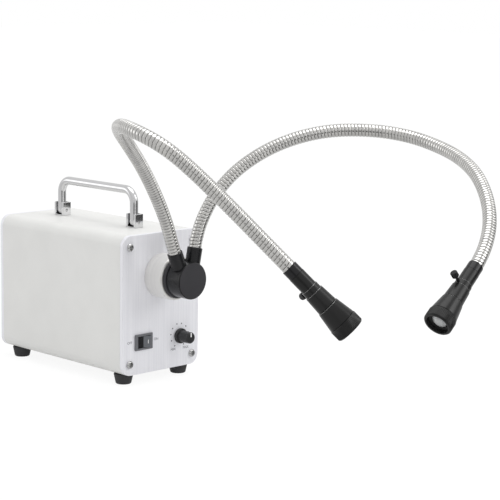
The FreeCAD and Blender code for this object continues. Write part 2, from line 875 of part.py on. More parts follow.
def make_fan():
    """An axial fan on the rear plate; its rotor turns on a fixed hub."""
    centre_y = rear_back - dim.fan_thickness
    corner = dim.fan_size / 2 - dim.fan_hole_inset
    size = (dim.fan_size, dim.fan_thickness, dim.fan_size)
    frame_at = (0, rear_back - dim.fan_thickness / 2, port_z - dim.fan_size / 2)
    frame = block("fan_blank", size, frame_at)
    back = (0, rear_back + 1, port_z)
    tools = [rod("fan_tunnel", dim.fan_bore / 2, dim.fan_thickness + 2, back, FORWARD)]
    holes = [(x, z) for x in (-corner, corner) for z in (-corner, corner)]
    radius = dim.small_screw / 2 + dim.thread_gap
    for x, z in holes:
        place = (x, rear_back + 1, port_z + z)
        tools.append(rod("fan_hole", radius, dim.fan_thickness + 2, place, FORWARD))
    ring = cut("fan_ring", frame, tools)
    seat = 2.0
    hub = rod("fan_seat", dim.fan_hub / 2, seat, (0, rear_back, port_z), FORWARD)
    bars = []
    for i in range(4):
        bar = doc.addObject("Part::Box", "fan_bar_%d" % i)
        bind(bar, "Length", dim.fan_bore / 2 + 0.5)
        bar.Width = 3.5
        bar.Height = seat
        facing = FORWARD * Rotation(Vector(0, 0, 1), 90 * i)
        put(bar, (0, rear_back, port_z), facing)
        bars.append(bar)
    hub_at = (0, rear_back, port_z)
    barrel = rod("fan_barrel", dim.fan_shaft + 2, dim.fan_thickness / 2, hub_at, FORWARD)
    solid = fuse("fan_solid", [ring, hub, barrel] + bars)
    bore = dim.fan_shaft / 2 + dim.running_gap
    bearing = rod("fan_bearing", bore, dim.fan_thickness, (0, rear_back + 1, port_z), FORWARD)
    keep(cut("fan_cut", solid, [bearing]), "fan_frame")
    for x, z in holes:
        small_screw("fan_screw", (x, rear_face, port_z + z), BACKWARD, dim.fan_thickness - 2)
    # the rotor: a cup with a shaft, and blades cut to a ring
    depth = dim.fan_thickness - seat - 1.5
    face = rear_back - seat - 0.5
    shaft = dim.fan_shaft / 2
    profile = [
        (0, -seat),
        (shaft, -seat),
        (shaft, depth - 2),
        (dim.fan_hub / 2 - 2, depth - 2),
        (dim.fan_hub / 2 - 2, 0),
        (dim.fan_hub / 2, 0),
        (dim.fan_hub / 2, depth - 1),
        (dim.fan_hub / 2 - 1, depth),
        (0, depth),
    ]
    cup = turned("rotor_cup", profile, (0, face, port_z), FORWARD)
    blades = []
    tip = dim.fan_bore / 2 - dim.blade_gap
    chord = depth * 1.5
    for i in range(int(dim.blade_count.now)):
        blade = doc.addObject("Part::Box", "blade_%d" % i)
        bind(blade, "Length", tip)
        bind(blade, "Width", dim.blade_thickness)
        bind(blade, "Height", chord)
        turn = Rotation(Vector(0, 0, 1), 360 * i / dim.blade_count.now)
        facing = FORWARD * turn * Rotation(Vector(1, 0, 0), dim.blade_pitch.now)
        middle = Vector(0, face.now - depth.now / 2, port_z.now)
        offset = Vector(0, -dim.blade_thickness.now / 2, -chord.now / 2)
        blade.Placement = FreeCAD.Placement(middle + facing.multVec(offset), facing)
        blades.append(blade)
    inner = rod("blade_inner", dim.fan_hub / 2 - 1, depth, (0, face, port_z), FORWARD)
    outer = rod("blade_outer", tip, depth, (0, face, port_z), FORWARD)
    common = doc.addObject("Part::Common", "blade_common")
    common.Base = fuse("blade_set", blades)
    common.Tool = cut("blade_room", outer, [inner])
    keep(fuse("rotor_solid", [cup, common]), "fan_rotor")


# Electrics


def make_board():
    """Power supply and driver board, low in the case on standoffs."""
    top = floor_z + dim.board_lift
    plate = block(
        "board_plate",
        (board_width, dim.board_length, dim.board_thickness),
        (0, dim.board_shift, top),
    )
    radius = dim.small_screw / 2 + dim.hole_gap
    holes = [
        rod("board_hole", radius, dim.board_thickness * 3, (x, y, top - 1))
        for x, y in board_holes()
    ]
    keep(cut("board_cut", plate, holes), "driver_board")
    bore_radius = dim.small_screw / 2 + dim.thread_gap
    for x, y in board_holes():
        post = rod("post", dim.standoff_diameter / 2, dim.board_lift, (x, y, floor_z))
        spigot = rod("post_spigot", bore_radius, dim.case_wall + 1, (x, y, dim.foot_height))
        bore = rod("post_bore", bore_radius, dim.board_lift, (x, y, floor_z + 1.2))
        standoff_set.append(cut("post_cut", fuse("post_solid", [post, spigot]), [bore]))
        place = (x, y, top + dim.board_thickness)
        small_screw("board_screw", place, UPWARD, dim.board_lift)
    deck = top + dim.board_thickness
    coil_y = dim.board_shift + dim.coil_shift
    core_size = (board_width * 0.5, dim.core_length, dim.core_height)
    core = block("core", core_size, (0, coil_y, deck))
    coil_size = (board_width * 0.36, dim.coil_length, dim.coil_height)
    coil = block("coil", coil_size, (0, coil_y, deck))
    transformer = fuse("transformer_solid", [core, coil])
    can_y = dim.board_shift - dim.can_shift
    cans = [
        rod("can", dim.can_diameter / 2, dim.can_height, (x, can_y, deck))
        for x in (-dim.can_spacing / 2, dim.can_spacing / 2)
    ]
    strip_size = (dim.strip_width, dim.strip_depth, dim.strip_height)
    reach = dim.board_length / 2 - dim.strip_inset
    strips = [block("strip", strip_size, (0, dim.board_shift + y, deck)) for y in (-reach, reach)]
    keep(group("board_part_set", [transformer] + cans + strips), "board_parts")


def make_switch():
    """A snap-in rocker switch: bezel, body and well, and the rocker on its pins."""
    x, y = dim.switch_x, front_face
    bezel = block(
        "bezel",
        (dim.bezel_width, dim.bezel_thickness, dim.bezel_height),
        (x, y - dim.bezel_thickness / 2, switch_z - dim.bezel_height / 2),
    )
    shell = block(
        "switch_shell",
        (dim.switch_width, dim.switch_depth, dim.switch_tall),
        (x, y + dim.switch_depth / 2, switch_z - dim.switch_tall / 2),
    )
    tab_size = (dim.switch_tab_thickness, dim.switch_tab, dim.switch_tab_width)
    tab_y = y + dim.switch_depth + dim.switch_tab / 2 - 0.5
    tab_z = switch_z - dim.switch_tab_width / 2
    tabs = [
        block("switch_tab", tab_size, (x + side, tab_y, tab_z))
        for side in (-dim.switch_tab_spacing / 2, dim.switch_tab_spacing / 2)
    ]
    rim_y = y - dim.bezel_thickness
    depth = 9.0
    well = block(
        "well",
        (dim.rocker_well_width, depth + 1, dim.rocker_well_tall),
        (x, rim_y - 1 + (depth + 1) / 2, switch_z - dim.rocker_well_tall / 2),
    )
    pivot_y = rim_y + 2.8
    reach = dim.switch_tall - 0.6
    hole_radius = dim.rocker_pin / 2 + dim.running_gap
    socket = rod("rocker_socket", hole_radius, reach, (x, pivot_y, switch_z - reach / 2))
    whole = fuse("switch_solid", [bezel, shell] + tabs)
    keep(cut("switch_cut", whole, [well, socket]), "switch_housing")
    body = doc.addObject("PartDesign::Body", "rocker_body")
    sketch = sketch_on(body, "XY_Plane", "rocker_outline")
    half = dim.rocker_width / 2
    outline = [
        (-half, -dim.rocker_rise),
        (0, -dim.rocker_waist),
        (half, -dim.rocker_rise),
        (half, 1.5),
        (half * 0.45, 4.0),
        (-half * 0.45, 4.0),
        (-half, 1.5),
    ]
    draw_outline(sketch, outline)
    tall = dim.rocker_well_tall - dim.rocker_gap * 2
    pad(body, sketch, tall, "rocker_pad")
    pin = sketch_on(body, "XY_Plane", "rocker_pin_outline")
    draw_circle(pin, 0, 0, dim.rocker_pin)
    pins = pad(body, pin, tall + 0.7, "rocker_pins")
    tilt = Rotation(Vector(0, 0, 1), -dim.rocker_tilt.now)
    put(body, (x, pivot_y, switch_z - tall / 2), tilt)
    lower = rod("rocker_pin_low", dim.rocker_pin / 2, 0.7, (x, pivot_y, switch_z - tall / 2 - 0.7))
    keep(fuse("rocker_solid", [body, lower]), "power_rocker")


def make_dimmer():
    """Potentiometer behind the plate, its shaft, nut and the pointer knob."""
    x = dim.dimmer_x
    bushing = dim.bushing_diameter / 2
    bore = dim.shaft_diameter / 2 + dim.running_gap
    front = dim.panel_thickness + dim.knob_lift + dim.knob_cavity - 0.3
    profile = [
        (bore, -dim.pot_depth + 1.5),
        (bore, front),
        (bushing, front),
        (bushing, 0),
        (dim.pot_diameter / 2, 0),
        (dim.pot_diameter / 2, -dim.pot_depth),
        (0, -dim.pot_depth),
        (0, -dim.pot_depth + 1.5),
    ]
    can = turned("pot_body", profile, (x, front_back, dimmer_z), FORWARD)
    lugs_at = (x, front_back + 3.0, dimmer_z - dim.pot_diameter / 2 - dim.lug_length + 2.0)
    lugs = block("pot_lugs", (dim.lug_width, 1.0, dim.lug_length), lugs_at)
    pot = fuse("pot_solid", [can, lugs])
    nut_at = (x, front_face, dimmer_z)
    nut = hexagon("dimmer_hex", dim.bushing_diameter + 3.4, 2.0, nut_at, FORWARD)
    bore_rod = rod("dimmer_nut_bore", bushing + dim.thread_gap, 2.0, nut_at, FORWARD)
    keep(group("pot_and_nut", [pot, cut("dimmer_nut_cut", nut, [bore_rod])]), "dimmer_pot")
    back = front_face - dim.knob_lift
    shaft = dim.shaft_diameter / 2
    start = dim.pot_depth - 2.0 + dim.panel_thickness + dim.knob_lift
    end = dim.knob_length - 3.0
    length = start + end
    spindle = rod("spindle", shaft, length, (x, back + start, dimmer_z), FORWARD)
    keep(spindle, "dimmer_shaft")
    skirt, grip = dim.knob_skirt / 2, dim.knob_body / 2
    cavity = dim.bushing_diameter / 2 + 2.2
    profile = [
        (0, end + 0.1),
        (shaft + 0.03, end + 0.1),
        (shaft + 0.03, dim.knob_cavity),
        (cavity, dim.knob_cavity),
        (cavity, 0),
        (skirt, 0),
        (skirt, dim.knob_skirt_depth - dim.knob_edge),
        (skirt - dim.knob_edge, dim.knob_skirt_depth),
        (grip + 0.3, dim.knob_skirt_depth),
        (grip, dim.knob_length - 0.8),
        (grip - 0.7, dim.knob_length),
        (0, dim.knob_length),
    ]
    keep(turned("knob_body_turned", profile, (x, back, dimmer_z), FORWARD), "dimmer_knob")


def make_inlet():
    """An appliance inlet with its three pins, screwed to the rear plate."""
    plate_size = (dim.inlet_flange_width, dim.inlet_flange, dim.inlet_flange_tall)
    plate_z = inlet_z - dim.inlet_flange_tall / 2
    flange = block("inlet_plate", plate_size, (0, rear_face + dim.inlet_flange / 2, plate_z))
    shell_size = (dim.inlet_width, dim.inlet_depth, dim.inlet_tall)
    shell_z = inlet_z - dim.inlet_tall / 2
    shell = block("inlet_shell", shell_size, (0, rear_face - dim.inlet_depth / 2, shell_z))
    mouth = rear_face + dim.inlet_flange
    deep = dim.inlet_depth + dim.inlet_flange - dim.inlet_floor
    wide = dim.inlet_width - dim.inlet_wall * 2
    tall = dim.inlet_tall - dim.inlet_wall * 2
    well_at = (0, mouth + 1 - (deep + 1) / 2, shell_z + dim.inlet_wall)
    tools = [block("inlet_well", (wide, deep + 1, tall), well_at)]
    spots = [(-dim.inlet_screw_span / 2, inlet_z), (dim.inlet_screw_span / 2, inlet_z)]
    hole = dim.small_screw / 2 + dim.hole_gap
    for x, z in spots:
        tools.append(rod("inlet_hole", hole, dim.inlet_flange * 3, (x, mouth + 1, z), FORWARD))
    keep(cut("inlet_cut", fuse("inlet_solid", [flange, shell]), tools), "mains_inlet")
    pins = []
    pin_size = (dim.inlet_pin_width, dim.inlet_pin_length, dim.inlet_pin_height)
    pin_y = mouth - deep + dim.inlet_pin_length / 2
    low_z = inlet_z - dim.inlet_pin_height / 2 - 1
    side = dim.inlet_pin_spacing / 2
    for x, z in ((-side, low_z), (side, low_z), (0, low_z + dim.inlet_pin_step)):
        pins.append(block("inlet_pin", pin_size, (x, pin_y, z)))
    keep(group("pin_set", pins), "inlet_pins")
    for x, z in spots:
        small_screw("inlet_screw", (x, mouth, z), BACKWARD, dim.inlet_screw_length)


# Handle

handle_x = 0


def make_handle():
    """A bent round bar that folds down to the left between slotted brackets."""
    radius = dim.bar_diameter / 2
    slot_back = dim.bracket_depth / 2 - dim.bracket_back
    bar_x = slot_back - dim.bracket_gap - radius
    bar_z = case_top + dim.handle_rise
    leg = dim.handle_rise - dim.pivot_height - dim.handle_bend
    pieces = []
    quarter = Rotation(Vector(1, 1, 1), 120)
    for sign, turn in ((1, 0), (-1, 180)):
        y = half_span * sign
        pieces.append(rod("leg", radius, leg, (bar_x, y, pivot_z)))
        ball = doc.addObject("Part::Sphere", "leg_end")
        bind(ball, "Radius", radius)
        pieces.append(put(ball, (bar_x, y, pivot_z)))
        bend = doc.addObject("Part::Torus", "bend")
        bind(bend, "Radius1", dim.handle_bend)
        bind(bend, "Radius2", radius)
        bend.Angle3 = 90
        centre = (bar_x, y - dim.handle_bend * sign, bar_z - dim.handle_bend)
        pieces.append(put(bend, centre, Rotation(Vector(0, 0, 1), turn) * quarter))
    span = dim.handle_span - dim.handle_bend * 2
    pieces.append(rod("grip", radius, span, (bar_x, span / 2, bar_z), FORWARD))
    pin_reach = dim.bracket_width
    holes, pins = [], []
    for sign in (1, -1):
        start = (bar_x, half_span * sign + pin_reach / 2, pivot_z)
        pin = dim.pin_diameter / 2
        holes.append(rod("leg_hole", pin + dim.running_gap / 2, pin_reach, start, FORWARD))
        pins.append(rod("hinge_pin", pin, pin_reach, start, FORWARD))
    keep(cut("handle_cut", fuse("handle_solid", pieces), holes), "carry_handle")
    keep(group("pin_pair", pins), "handle_pins")
    nuts, brackets = [], []
    for name, sign in (("front", -1), ("rear", 1)):
        y = half_span * sign
        size = (dim.bracket_depth, dim.bracket_width, dim.bracket_height)
        blank = block("bracket_blank_" + name, size, (handle_x, y, case_top))
        floor = dim.pivot_height - radius - 0.2
        slot_width = dim.bar_diameter + dim.bracket_gap * 2
        slot_size = (slot_back + dim.bracket_depth, slot_width, dim.bracket_height)
        slot_x = slot_back - slot_size[0] / 2
        slot = block("bracket_slot_" + name, slot_size, (slot_x, y, case_top + floor))
        hole = rod(
            "bracket_hole_" + name,
            dim.pin_diameter / 2 + dim.running_gap,
            dim.bracket_width + 2,
            (bar_x, y + dim.bracket_width / 2 + 1, pivot_z),
            FORWARD,
        )
        body = cut("bracket_cut_" + name, blank, [slot, hole])
        screw = dim.screw_diameter / 2
        stud = rod("stud_" + name, screw, dim.stud_length, (handle_x, y, case_top), DOWNWARD)
        brackets.append(fuse("bracket_solid_" + name, [body, stud]))
        nut = hexagon("stud_hex_" + name, screw * 4, 3.2, (handle_x, y, roof_z - 3.2))
        bore_at = (handle_x, y, roof_z - 4)
        bore = rod("stud_bore_" + name, screw + dim.thread_gap, 5.0, bore_at)
        nuts.append(cut("stud_nut_" + name, nut, [bore]))
    keep(group("bracket_pair", brackets), "handle_brackets")
    keep(group("nut_pair", nuts), "handle_nuts")


# Light guide

flange_back = port_front - dim.face_gap
flange_front = flange_back - dim.flange_thickness
head_back = flange_front - dim.face_gap
cap_back = head_back - (dim.head_length - dim.head_wall)
collar_y = head_back - dim.head_length / 2
roll = math.radians(dim.head_roll.now)
lean = math.radians(dim.collar_lean.now)


def spun(base, radius, length, direction, name):
    """A cylinder from a point along a direction."""
    piece = doc.addObject("Part::Cylinder", name)
    bind(piece, "Radius", radius)
    bind(piece, "Height", length)
    piece.Placement = FreeCAD.Placement(base, Rotation(Vector(0, 0, 1), direction))
    return piece


def collar_line(side):
    """Where the two collar axes cross, and which way this one leans."""
    cross = dim.collar_cross.now
    start = Vector(cross * math.sin(roll), collar_y.now, port_z.now - cross * math.cos(roll))
    angle = ARM_SIGN[side] * lean - roll
    return start, Vector(math.sin(angle), 0, math.cos(angle))


def make_guide():
    """Plug, flange, manifold head, its cap and the two collars."""
    plug = dim.plug_diameter / 2
    bore = dim.plug_bore / 2 + dim.fit_gap
    profile = [
        (bore, 0),
        (plug - 0.8, 0),
        (plug, 0.8),
        (plug, dim.plug_length),
        (bore, dim.plug_length),
    ]
    start = flange_back + dim.plug_length
    keep(turned("ferrule_body", profile, (0, start, port_z), FORWARD), "guide_ferrule")
    rim = dim.flange_diameter / 2
    hub = dim.hub_diameter / 2
    depth = dim.flange_thickness + dim.hub_length
    groove = dim.flange_thickness + dim.face_gap + dim.head_wall + 0.2
    groove_end = groove + dim.clip_thickness
    seat = hub - 0.6
    profile = [
        (bore, 0),
        (rim, 0),
        (rim, dim.flange_thickness - 0.8),
        (rim - 0.8, dim.flange_thickness),
        (hub, dim.flange_thickness),
        (hub, groove),
        (seat, groove),
        (seat, groove_end),
        (hub, groove_end),
        (hub, depth),
        (bore, depth),
    ]
    keep(turned("flange_body", profile, (0, flange_back, port_z), FORWARD), "guide_flange")
    length = dim.plug_length + depth
    core = rod("core_rod", dim.plug_bore / 2, length, (0, start, port_z), FORWARD)
    keep(core, "guide_fibre_core")
    clip_back = head_back - dim.head_wall - 0.2
    clip = [
        (seat, 0),
        (hub + 2.2, 0),
        (hub + 2.2, dim.clip_thickness),
        (seat, dim.clip_thickness),
    ]
    keep(turned("clip_body", clip, (0, clip_back, port_z), FORWARD), "guide_clip")
    outer = dim.head_diameter / 2
    room = outer - dim.head_wall
    shell_depth = dim.head_length - dim.head_wall
    profile = [
        (hub + dim.guide_gap, 0),
        (outer - 0.6, 0),
        (outer, 0.6),
        (outer, shell_depth),
        (room, shell_depth),
        (room, dim.head_wall),
        (hub + dim.guide_gap, dim.head_wall),
    ]
    shell = turned("head_shell", profile, (0, head_back, port_z), FORWARD)
    holes = []
    for side in ARM_SIGN:
        base, aim = collar_line(side)
        middle = base + aim * dim.collar_cross.now
        radius = dim.hose_bore / 2 + 0.5
        holes.append(spun(middle, radius, dim.collar_reach, aim, "collar_hole_" + side))
    keep(cut("head_cut", shell, holes), "guide_head")
    profile = [
        (0, -1.2),
        (room - dim.fit_gap, -1.2),
        (room - dim.fit_gap, 0),
        (outer, 0),
        (outer, dim.head_wall - 0.7),
        (outer - 0.7, dim.head_wall),
        (0, dim.head_wall),
    ]
    keep(turned("cap_body", profile, (0, cap_back, port_z), FORWARD), "guide_cap")
    for side in ARM_SIGN:
        make_collar(side)
    stem_back = flange_front - dim.hub_length - dim.fibre_room
    stem = rod("fibre_stem", dim.plug_bore / 2, 6.0, (0, stem_back, port_z), FORWARD)
    branches = []
    for side in ARM_SIGN:
        base, aim = collar_line(side)
        low = dim.collar_cross
        reach = dim.collar_reach - dim.collar_grip - low
        thick = dim.fibre_diameter / 2
        branches.append(spun(base + aim * low.now, thick, reach, aim, "fibre_branch_" + side))
    hub_room = rod("hub_room", room, dim.head_wall, (0, stem_back + dim.head_wall, port_z), FORWARD)
    keep(cut("fibre_cut", fuse("fibre_split", [stem] + branches), [hub_room]), "guide_fibres")


def make_collar(side):
    base, aim = collar_line(side)
    middle = base + aim * dim.collar_cross.now
    length = dim.collar_reach - dim.collar_cross
    tube = spun(middle, dim.collar_diameter / 2, length, aim, "collar_blank_" + side)
    front = (0, head_back + dim.saddle_room, port_z)
    across = dim.head_diameter / 2
    deep = dim.head_length + dim.saddle_room * 2
    saddle = rod("collar_saddle_" + side, across, deep, front, FORWARD)
    tip = base + aim * (dim.collar_reach.now - dim.collar_grip.now)
    snug = dim.hose_diameter / 2 + dim.fit_gap
    socket = spun(tip, snug, dim.collar_grip * 2, aim, "collar_socket_" + side)
    loose = dim.fibre_diameter / 2 + dim.hole_gap
    bore = spun(base, loose, dim.collar_reach, aim, "collar_bore_" + side)
    upper = cut("collar_upper_" + side, tube, [saddle])
    start = base + aim * (dim.collar_cross.now + dim.head_diameter.now / 2 - 3.4)
    spigot = spun(start, dim.hose_bore / 2 + 0.4, dim.collar_grip, aim, "collar_spigot_" + side)
    whole = fuse("collar_whole_" + side, [upper, spigot])
    keep(cut("collar_cut_" + side, whole, [socket, bore]), side + "_collar")


# Arms


class Route:
    """A path of straight runs joined by tangent arcs through hand-chosen corners."""

    def __init__(self, corners):
        self.legs = []
        self.radii = []
        last = corners[0]
        for i in range(1, len(corners) - 1):
            here = corners[i]
            back = (corners[i - 1] - here)
            ahead = (corners[i + 1] - here)
            shorter = min(back.Length, ahead.Length)
            back.normalize()
            ahead.normalize()
            turn = math.pi - back.getAngle(ahead)
            trim = 0.45 * shorter
            radius = trim / math.tan(turn / 2)
            self.radii.append(radius)
            enter = here + back * trim
            leave = here + ahead * trim
            self.legs.append(("run", last, enter, None, 0.0))
            inward = (back + ahead).normalize()
            centre = here + inward * (radius / math.cos(turn / 2))
            self.legs.append(("arc", enter, leave, centre, turn))
            last = leave
        self.legs.append(("run", last, corners[-1], None, 0.0))
        self.lengths = []
        for kind, start, end, centre, turn in self.legs:
            if kind == "run":
                self.lengths.append((end - start).Length)
            else:
                self.lengths.append((start - centre).Length * turn)
        self.length = sum(self.lengths)

    def at(self, distance):
        """The point and the direction of travel at a distance from the start."""
        for leg, length in zip(self.legs, self.lengths):
            if distance <= length + 1e-9:
                break
            distance -= length
        kind, start, end, centre, turn = leg
        distance = min(distance, length)
        if kind == "run":
            along = (end - start).normalize()
            return start + along * distance, along
        arm = start - centre
        normal = arm.cross(end - centre).normalize()
        spin = Rotation(normal, math.degrees(turn * distance / length))
        spoke = spin.multVec(arm)
        return centre + spoke, normal.cross(spoke).normalize()

    def frames(self, distances):
        """Points, directions and a steady crosswise axis at each distance."""
        across = None
        for distance in distances:
            point, along = self.at(distance)
            if across is None:
                across = Vector(1, 0, 0) if abs(along.x) < 0.8 else Vector(0, 1, 0)
            across = (across - along * across.dot(along)).normalize()
            yield point, along, across


def ring(point, along, across, radius):
    """A circle as a closed wire, its seam on the steady crosswise axis."""
    axes = Rotation(across, along.cross(across), along, "ZXY")
    circle = Part.Circle()
    circle.Radius = radius
    wire = Part.Wire([circle.toShape()])
    wire.Placement = FreeCAD.Placement(point, axes)
    return wire


def tube_along(route, stations):
    """A ruled solid through circles at (distance, radius) stations."""
    frames = route.frames([distance for distance, radius in stations])
    wires = [
        ring(point, along, across, radius)
        for (point, along, across), (distance, radius) in zip(frames, stations)
    ]
    return Part.makeLoft(wires, True, True)


def ribbed_stations(start, end, plain_start, plain_end):
    """Four circles a rib between plain ends one hose diameter long.

    A plain far end is turned down a little where it sits in its socket."""
    crest = dim.hose_diameter.now / 2
    root = crest - dim.hose_groove.now
    first = start + (dim.hose_diameter.now if plain_start else 0.0)
    last = end - (dim.hose_diameter.now if plain_end else 0.0)
    count = max(1, round((last - first) / dim.rib_pitch.now))
    pitch = (last - first) / count
    stations = [(start, crest)] if plain_start else []
    for i in range(count):
        at = first + pitch * i
        stations += [
            (at + pitch * 0.04, crest),
            (at + pitch * 0.12, root),
            (at + pitch * 0.24, root),
            (at + pitch * 0.32, crest),
        ]
    stations[0] = (start, crest)
    if not plain_end:
        return stations + [(end, crest)]
    seat = crest - dim.hose_seat.now
    mouth = end - dim.socket_length.now * 0.75
    return stations + [(mouth - 0.7, crest), (mouth - 0.4, seat), (end, seat)]


def smooth_stations(start, end, radius):
    count = max(2, round((end - start) / 14.0))
    return [(start + (end - start) * i / count, radius) for i in range(count + 1)]


def hose(route, start, end, plain_start, plain_end):
    outside = tube_along(route, ribbed_stations(start, end, plain_start, plain_end))
    inside = tube_along(route, smooth_stations(start, end, dim.hose_bore.now / 2))
    return outside.cut(inside)


def fibres(route, start, end):
    return tube_along(route, smooth_stations(start, end, dim.fibre_diameter.now / 2))


def stored(name, shape, label):
    piece = doc.addObject("Part::Feature", name)
    piece.Shape = shape
    piece.Placement = FreeCAD.Placement()
    return keep(piece, label)


def arm_route(side):
    base, aim = collar_line(side)
    top = base + aim * dim.collar_reach.now
    socket = top - aim * dim.collar_grip.now
    start = [socket, top + aim * dim.base_straight.now]
    corners = start + [top + Vector(*offset) for offset in ARM_CORNERS[side]]
    return corners


def make_arm(side):
    """The metal hose of one arm, with its fibres, in rigid and bending stretches."""
    corners = arm_route(side)
    aim = Vector(*HEAD_AIM[side]).normalize()
    end = corners[-1]
    grip = dim.socket_length.now * 0.75
    route = Route(corners[:-1] + [end - aim * dim.tip_straight.now, end + aim * grip])
    grip = dim.collar_grip.now
    total = route.length
    crown_middle = CROWN_PLACE[side] * total
    base_end = grip + dim.base_flex.now
    crown_start = crown_middle - dim.crown_flex.now / 2
    crown_end = crown_middle + dim.crown_flex.now / 2
    tip_start = total - dim.socket_length.now * 0.75 - dim.tip_flex.now
    spans = [
        ("base", 0.0, base_end, True, False),
        ("lower", base_end, crown_start, False, False),
        ("crown", crown_start, crown_end, False, False),
        ("upper", crown_end, tip_start, False, False),
        ("tip", tip_start, total, False, True),
    ]
    gap = 0.02
    for part, start, end_at, plain_start, plain_end in spans:
        near = start + gap
        far = end_at - gap
        sleeve = hose(route, near, far, plain_start, plain_end)
        bundle = fibres(route, near, far)
        name = "%s_hose_%s" % (side, part)
        stored(name + "_pair", Part.makeCompound([sleeve, bundle]), name)
        wanted = math.pi * ((dim.hose_diameter.now / 2) ** 2 - (dim.hose_bore.now / 2) ** 2)
        print(name, "volume over plain tube", round(sleeve.Volume / (wanted * (far - near)), 3))
    for label, spot in (
        ("base", grip + dim.base_flex.now / 2),
        ("crown", crown_middle),
        ("tip", tip_start + dim.tip_flex.now / 2),
    ):
        point, along = route.at(spot)
        print(side, label, "pivot", [round(v, 3) for v in point], [round(v, 3) for v in along])
    print(side, "arm length", round(total, 1), "least bend radius", round(min(route.radii), 1))
    return route


CROWN_PLACE = {"left": 0.49, "right": 0.43}


# Lens heads


def make_lens_head(side, route):
    """End socket and ferrule, and the focusing barrel with its lens and thumbscrew."""
    point, along = route.at(route.length)
    origin = point - along * (dim.socket_length.now * 0.75)
    facing = Rotation(Vector(0, 0, 1), along)

    def set_here(body):
        body.Placement = FreeCAD.Placement(origin, facing)
        return body

    socket = dim.socket_diameter / 2
    grip = dim.socket_length * 0.75 + 0.1
    ferrule = dim.tip_diameter / 2
    bore = dim.tip_diameter / 2 - 0.8
    profile = [
        (dim.hose_diameter / 2 + dim.fit_gap, 0),
        (socket, 0),
        (socket, dim.socket_length),
        (ferrule, dim.socket_length),
        (ferrule, dim.tip_length),
        (bore, dim.tip_length),
        (bore, grip),
        (dim.hose_diameter / 2 + dim.fit_gap, grip),
    ]
    keep(set_here(turned(side + "_socket_body", profile, (0, 0, 0))), side + "_end_socket")
    profile = [(0, grip), (bore, grip), (bore, dim.tip_length), (0, dim.tip_length)]
    keep(set_here(turned(side + "_fibre_body", profile, (0, 0, 0))), side + "_fibre_end")
    slide = ferrule + dim.guide_gap
    room = dim.barrel_rear / 2 - 2.0
    lens_seat = dim.cone_end - 1.0
    profile = [
        (slide, dim.socket_length + dim.face_gap),
        (dim.sleeve_diameter / 2, dim.socket_length + dim.face_gap),
        (dim.sleeve_diameter / 2, dim.sleeve_end),
        (dim.step_diameter / 2, dim.sleeve_end),
        (dim.step_diameter / 2, dim.step_end),
        (dim.barrel_rear / 2, dim.step_end),
        (dim.barrel_front / 2, dim.barrel_end),
        (dim.cone_rear / 2, dim.barrel_end),
        (dim.cone_front / 2, dim.cone_end),
        (dim.front_lens / 2 + dim.fit_gap, dim.cone_end),
        (dim.front_lens / 2 + dim.fit_gap, dim.cone_end - 3.0),
        (room, dim.cone_end - 3.0),
        (room, dim.step_end + 1.5),
        (slide, dim.step_end + 1.5),
    ]
    barrel = set_here(turned(side + "_barrel_body", profile, (0, 0, 0)))
    screw_axis = Vector(*THUMB_SIDE[side])
    screw_axis = (screw_axis - along * screw_axis.dot(along)).normalize()
    middle = origin + along * dim.thumb_place.now
    loose = dim.thumb_stem / 2 + dim.running_gap
    hole = spun(middle, loose, dim.step_diameter, screw_axis, side + "_thumb_hole")
    keep(cut(side + "_barrel_cut", barrel, [hole]), side + "_lens_barrel")
    ring_back = dim.cone_end
    ring_front = dim.cone_end + dim.ring_length
    outer = dim.ring_diameter / 2
    window = dim.window_diameter / 2
    seat = dim.front_lens / 2 + dim.fit_gap
    top = dim.front_lens_thickness - 3.0 + 0.1
    profile = [
        (seat, ring_back),
        (outer, ring_back),
        (outer, ring_front - 1.0),
        (outer - 1.0, ring_front),
        (window + 2.2, ring_front),
        (window, ring_back + top + 1.5),
        (window, ring_back + top),
        (seat, ring_back + top),
    ]
    keep(set_here(turned(side + "_ring_body", profile, (0, 0, 0))), side + "_lens_ring")
    lens_at = origin + along * (dim.cone_end.now - 3.0 + 0.02)
    make_lens(
        side + "_front",
        dim.front_lens,
        dim.front_lens_thickness,
        dim.front_lens_radius,
        lens_at,
        facing,
        side + "_lens",
    )
    stem_start = ferrule.now + 0.3
    profile = [
        (0, stem_start),
        (dim.thumb_stem / 2, stem_start),
        (dim.thumb_stem / 2, dim.thumb_rise),
        (dim.thumb_head / 2 - 0.4, dim.thumb_rise),
        (dim.thumb_head / 2, dim.thumb_rise + 0.4),
        (dim.thumb_head / 2, dim.thumb_rise + dim.thumb_length - 0.4),
        (dim.thumb_head / 2 - 0.4, dim.thumb_rise + dim.thumb_length),
        (0, dim.thumb_rise + dim.thumb_length),
    ]
    screw = turned(side + "_thumb_body", profile, (0, 0, 0))
    screw.Placement = FreeCAD.Placement(middle, Rotation(Vector(0, 0, 1), screw_axis))
    keep(screw, side + "_thumbscrew")
    print(side, "head origin", [round(v, 3) for v in origin], "aim", [round(v, 4) for v in along])
    print(side, "thumb at", [round(v, 3) for v in middle], "axis", [round(v, 4) for v in screw_axis])


make_sleeve()
make_front_panel()
make_rear_panel()
make_case_screws()
make_feet()
make_port()
make_light_engine()
make_fan()
make_board()
make_switch()
make_dimmer()
make_inlet()
make_handle()
make_guide()
for arm_side in ARM_SIGN:
    make_lens_head(arm_side, make_arm(arm_side))
keep(group("case_screw_group", case_screw_set), "case_screws")
keep(group("small_screw_group", small_screw_set), "small_screws")
keep(group("standoff_group", standoff_set), "standoffs")

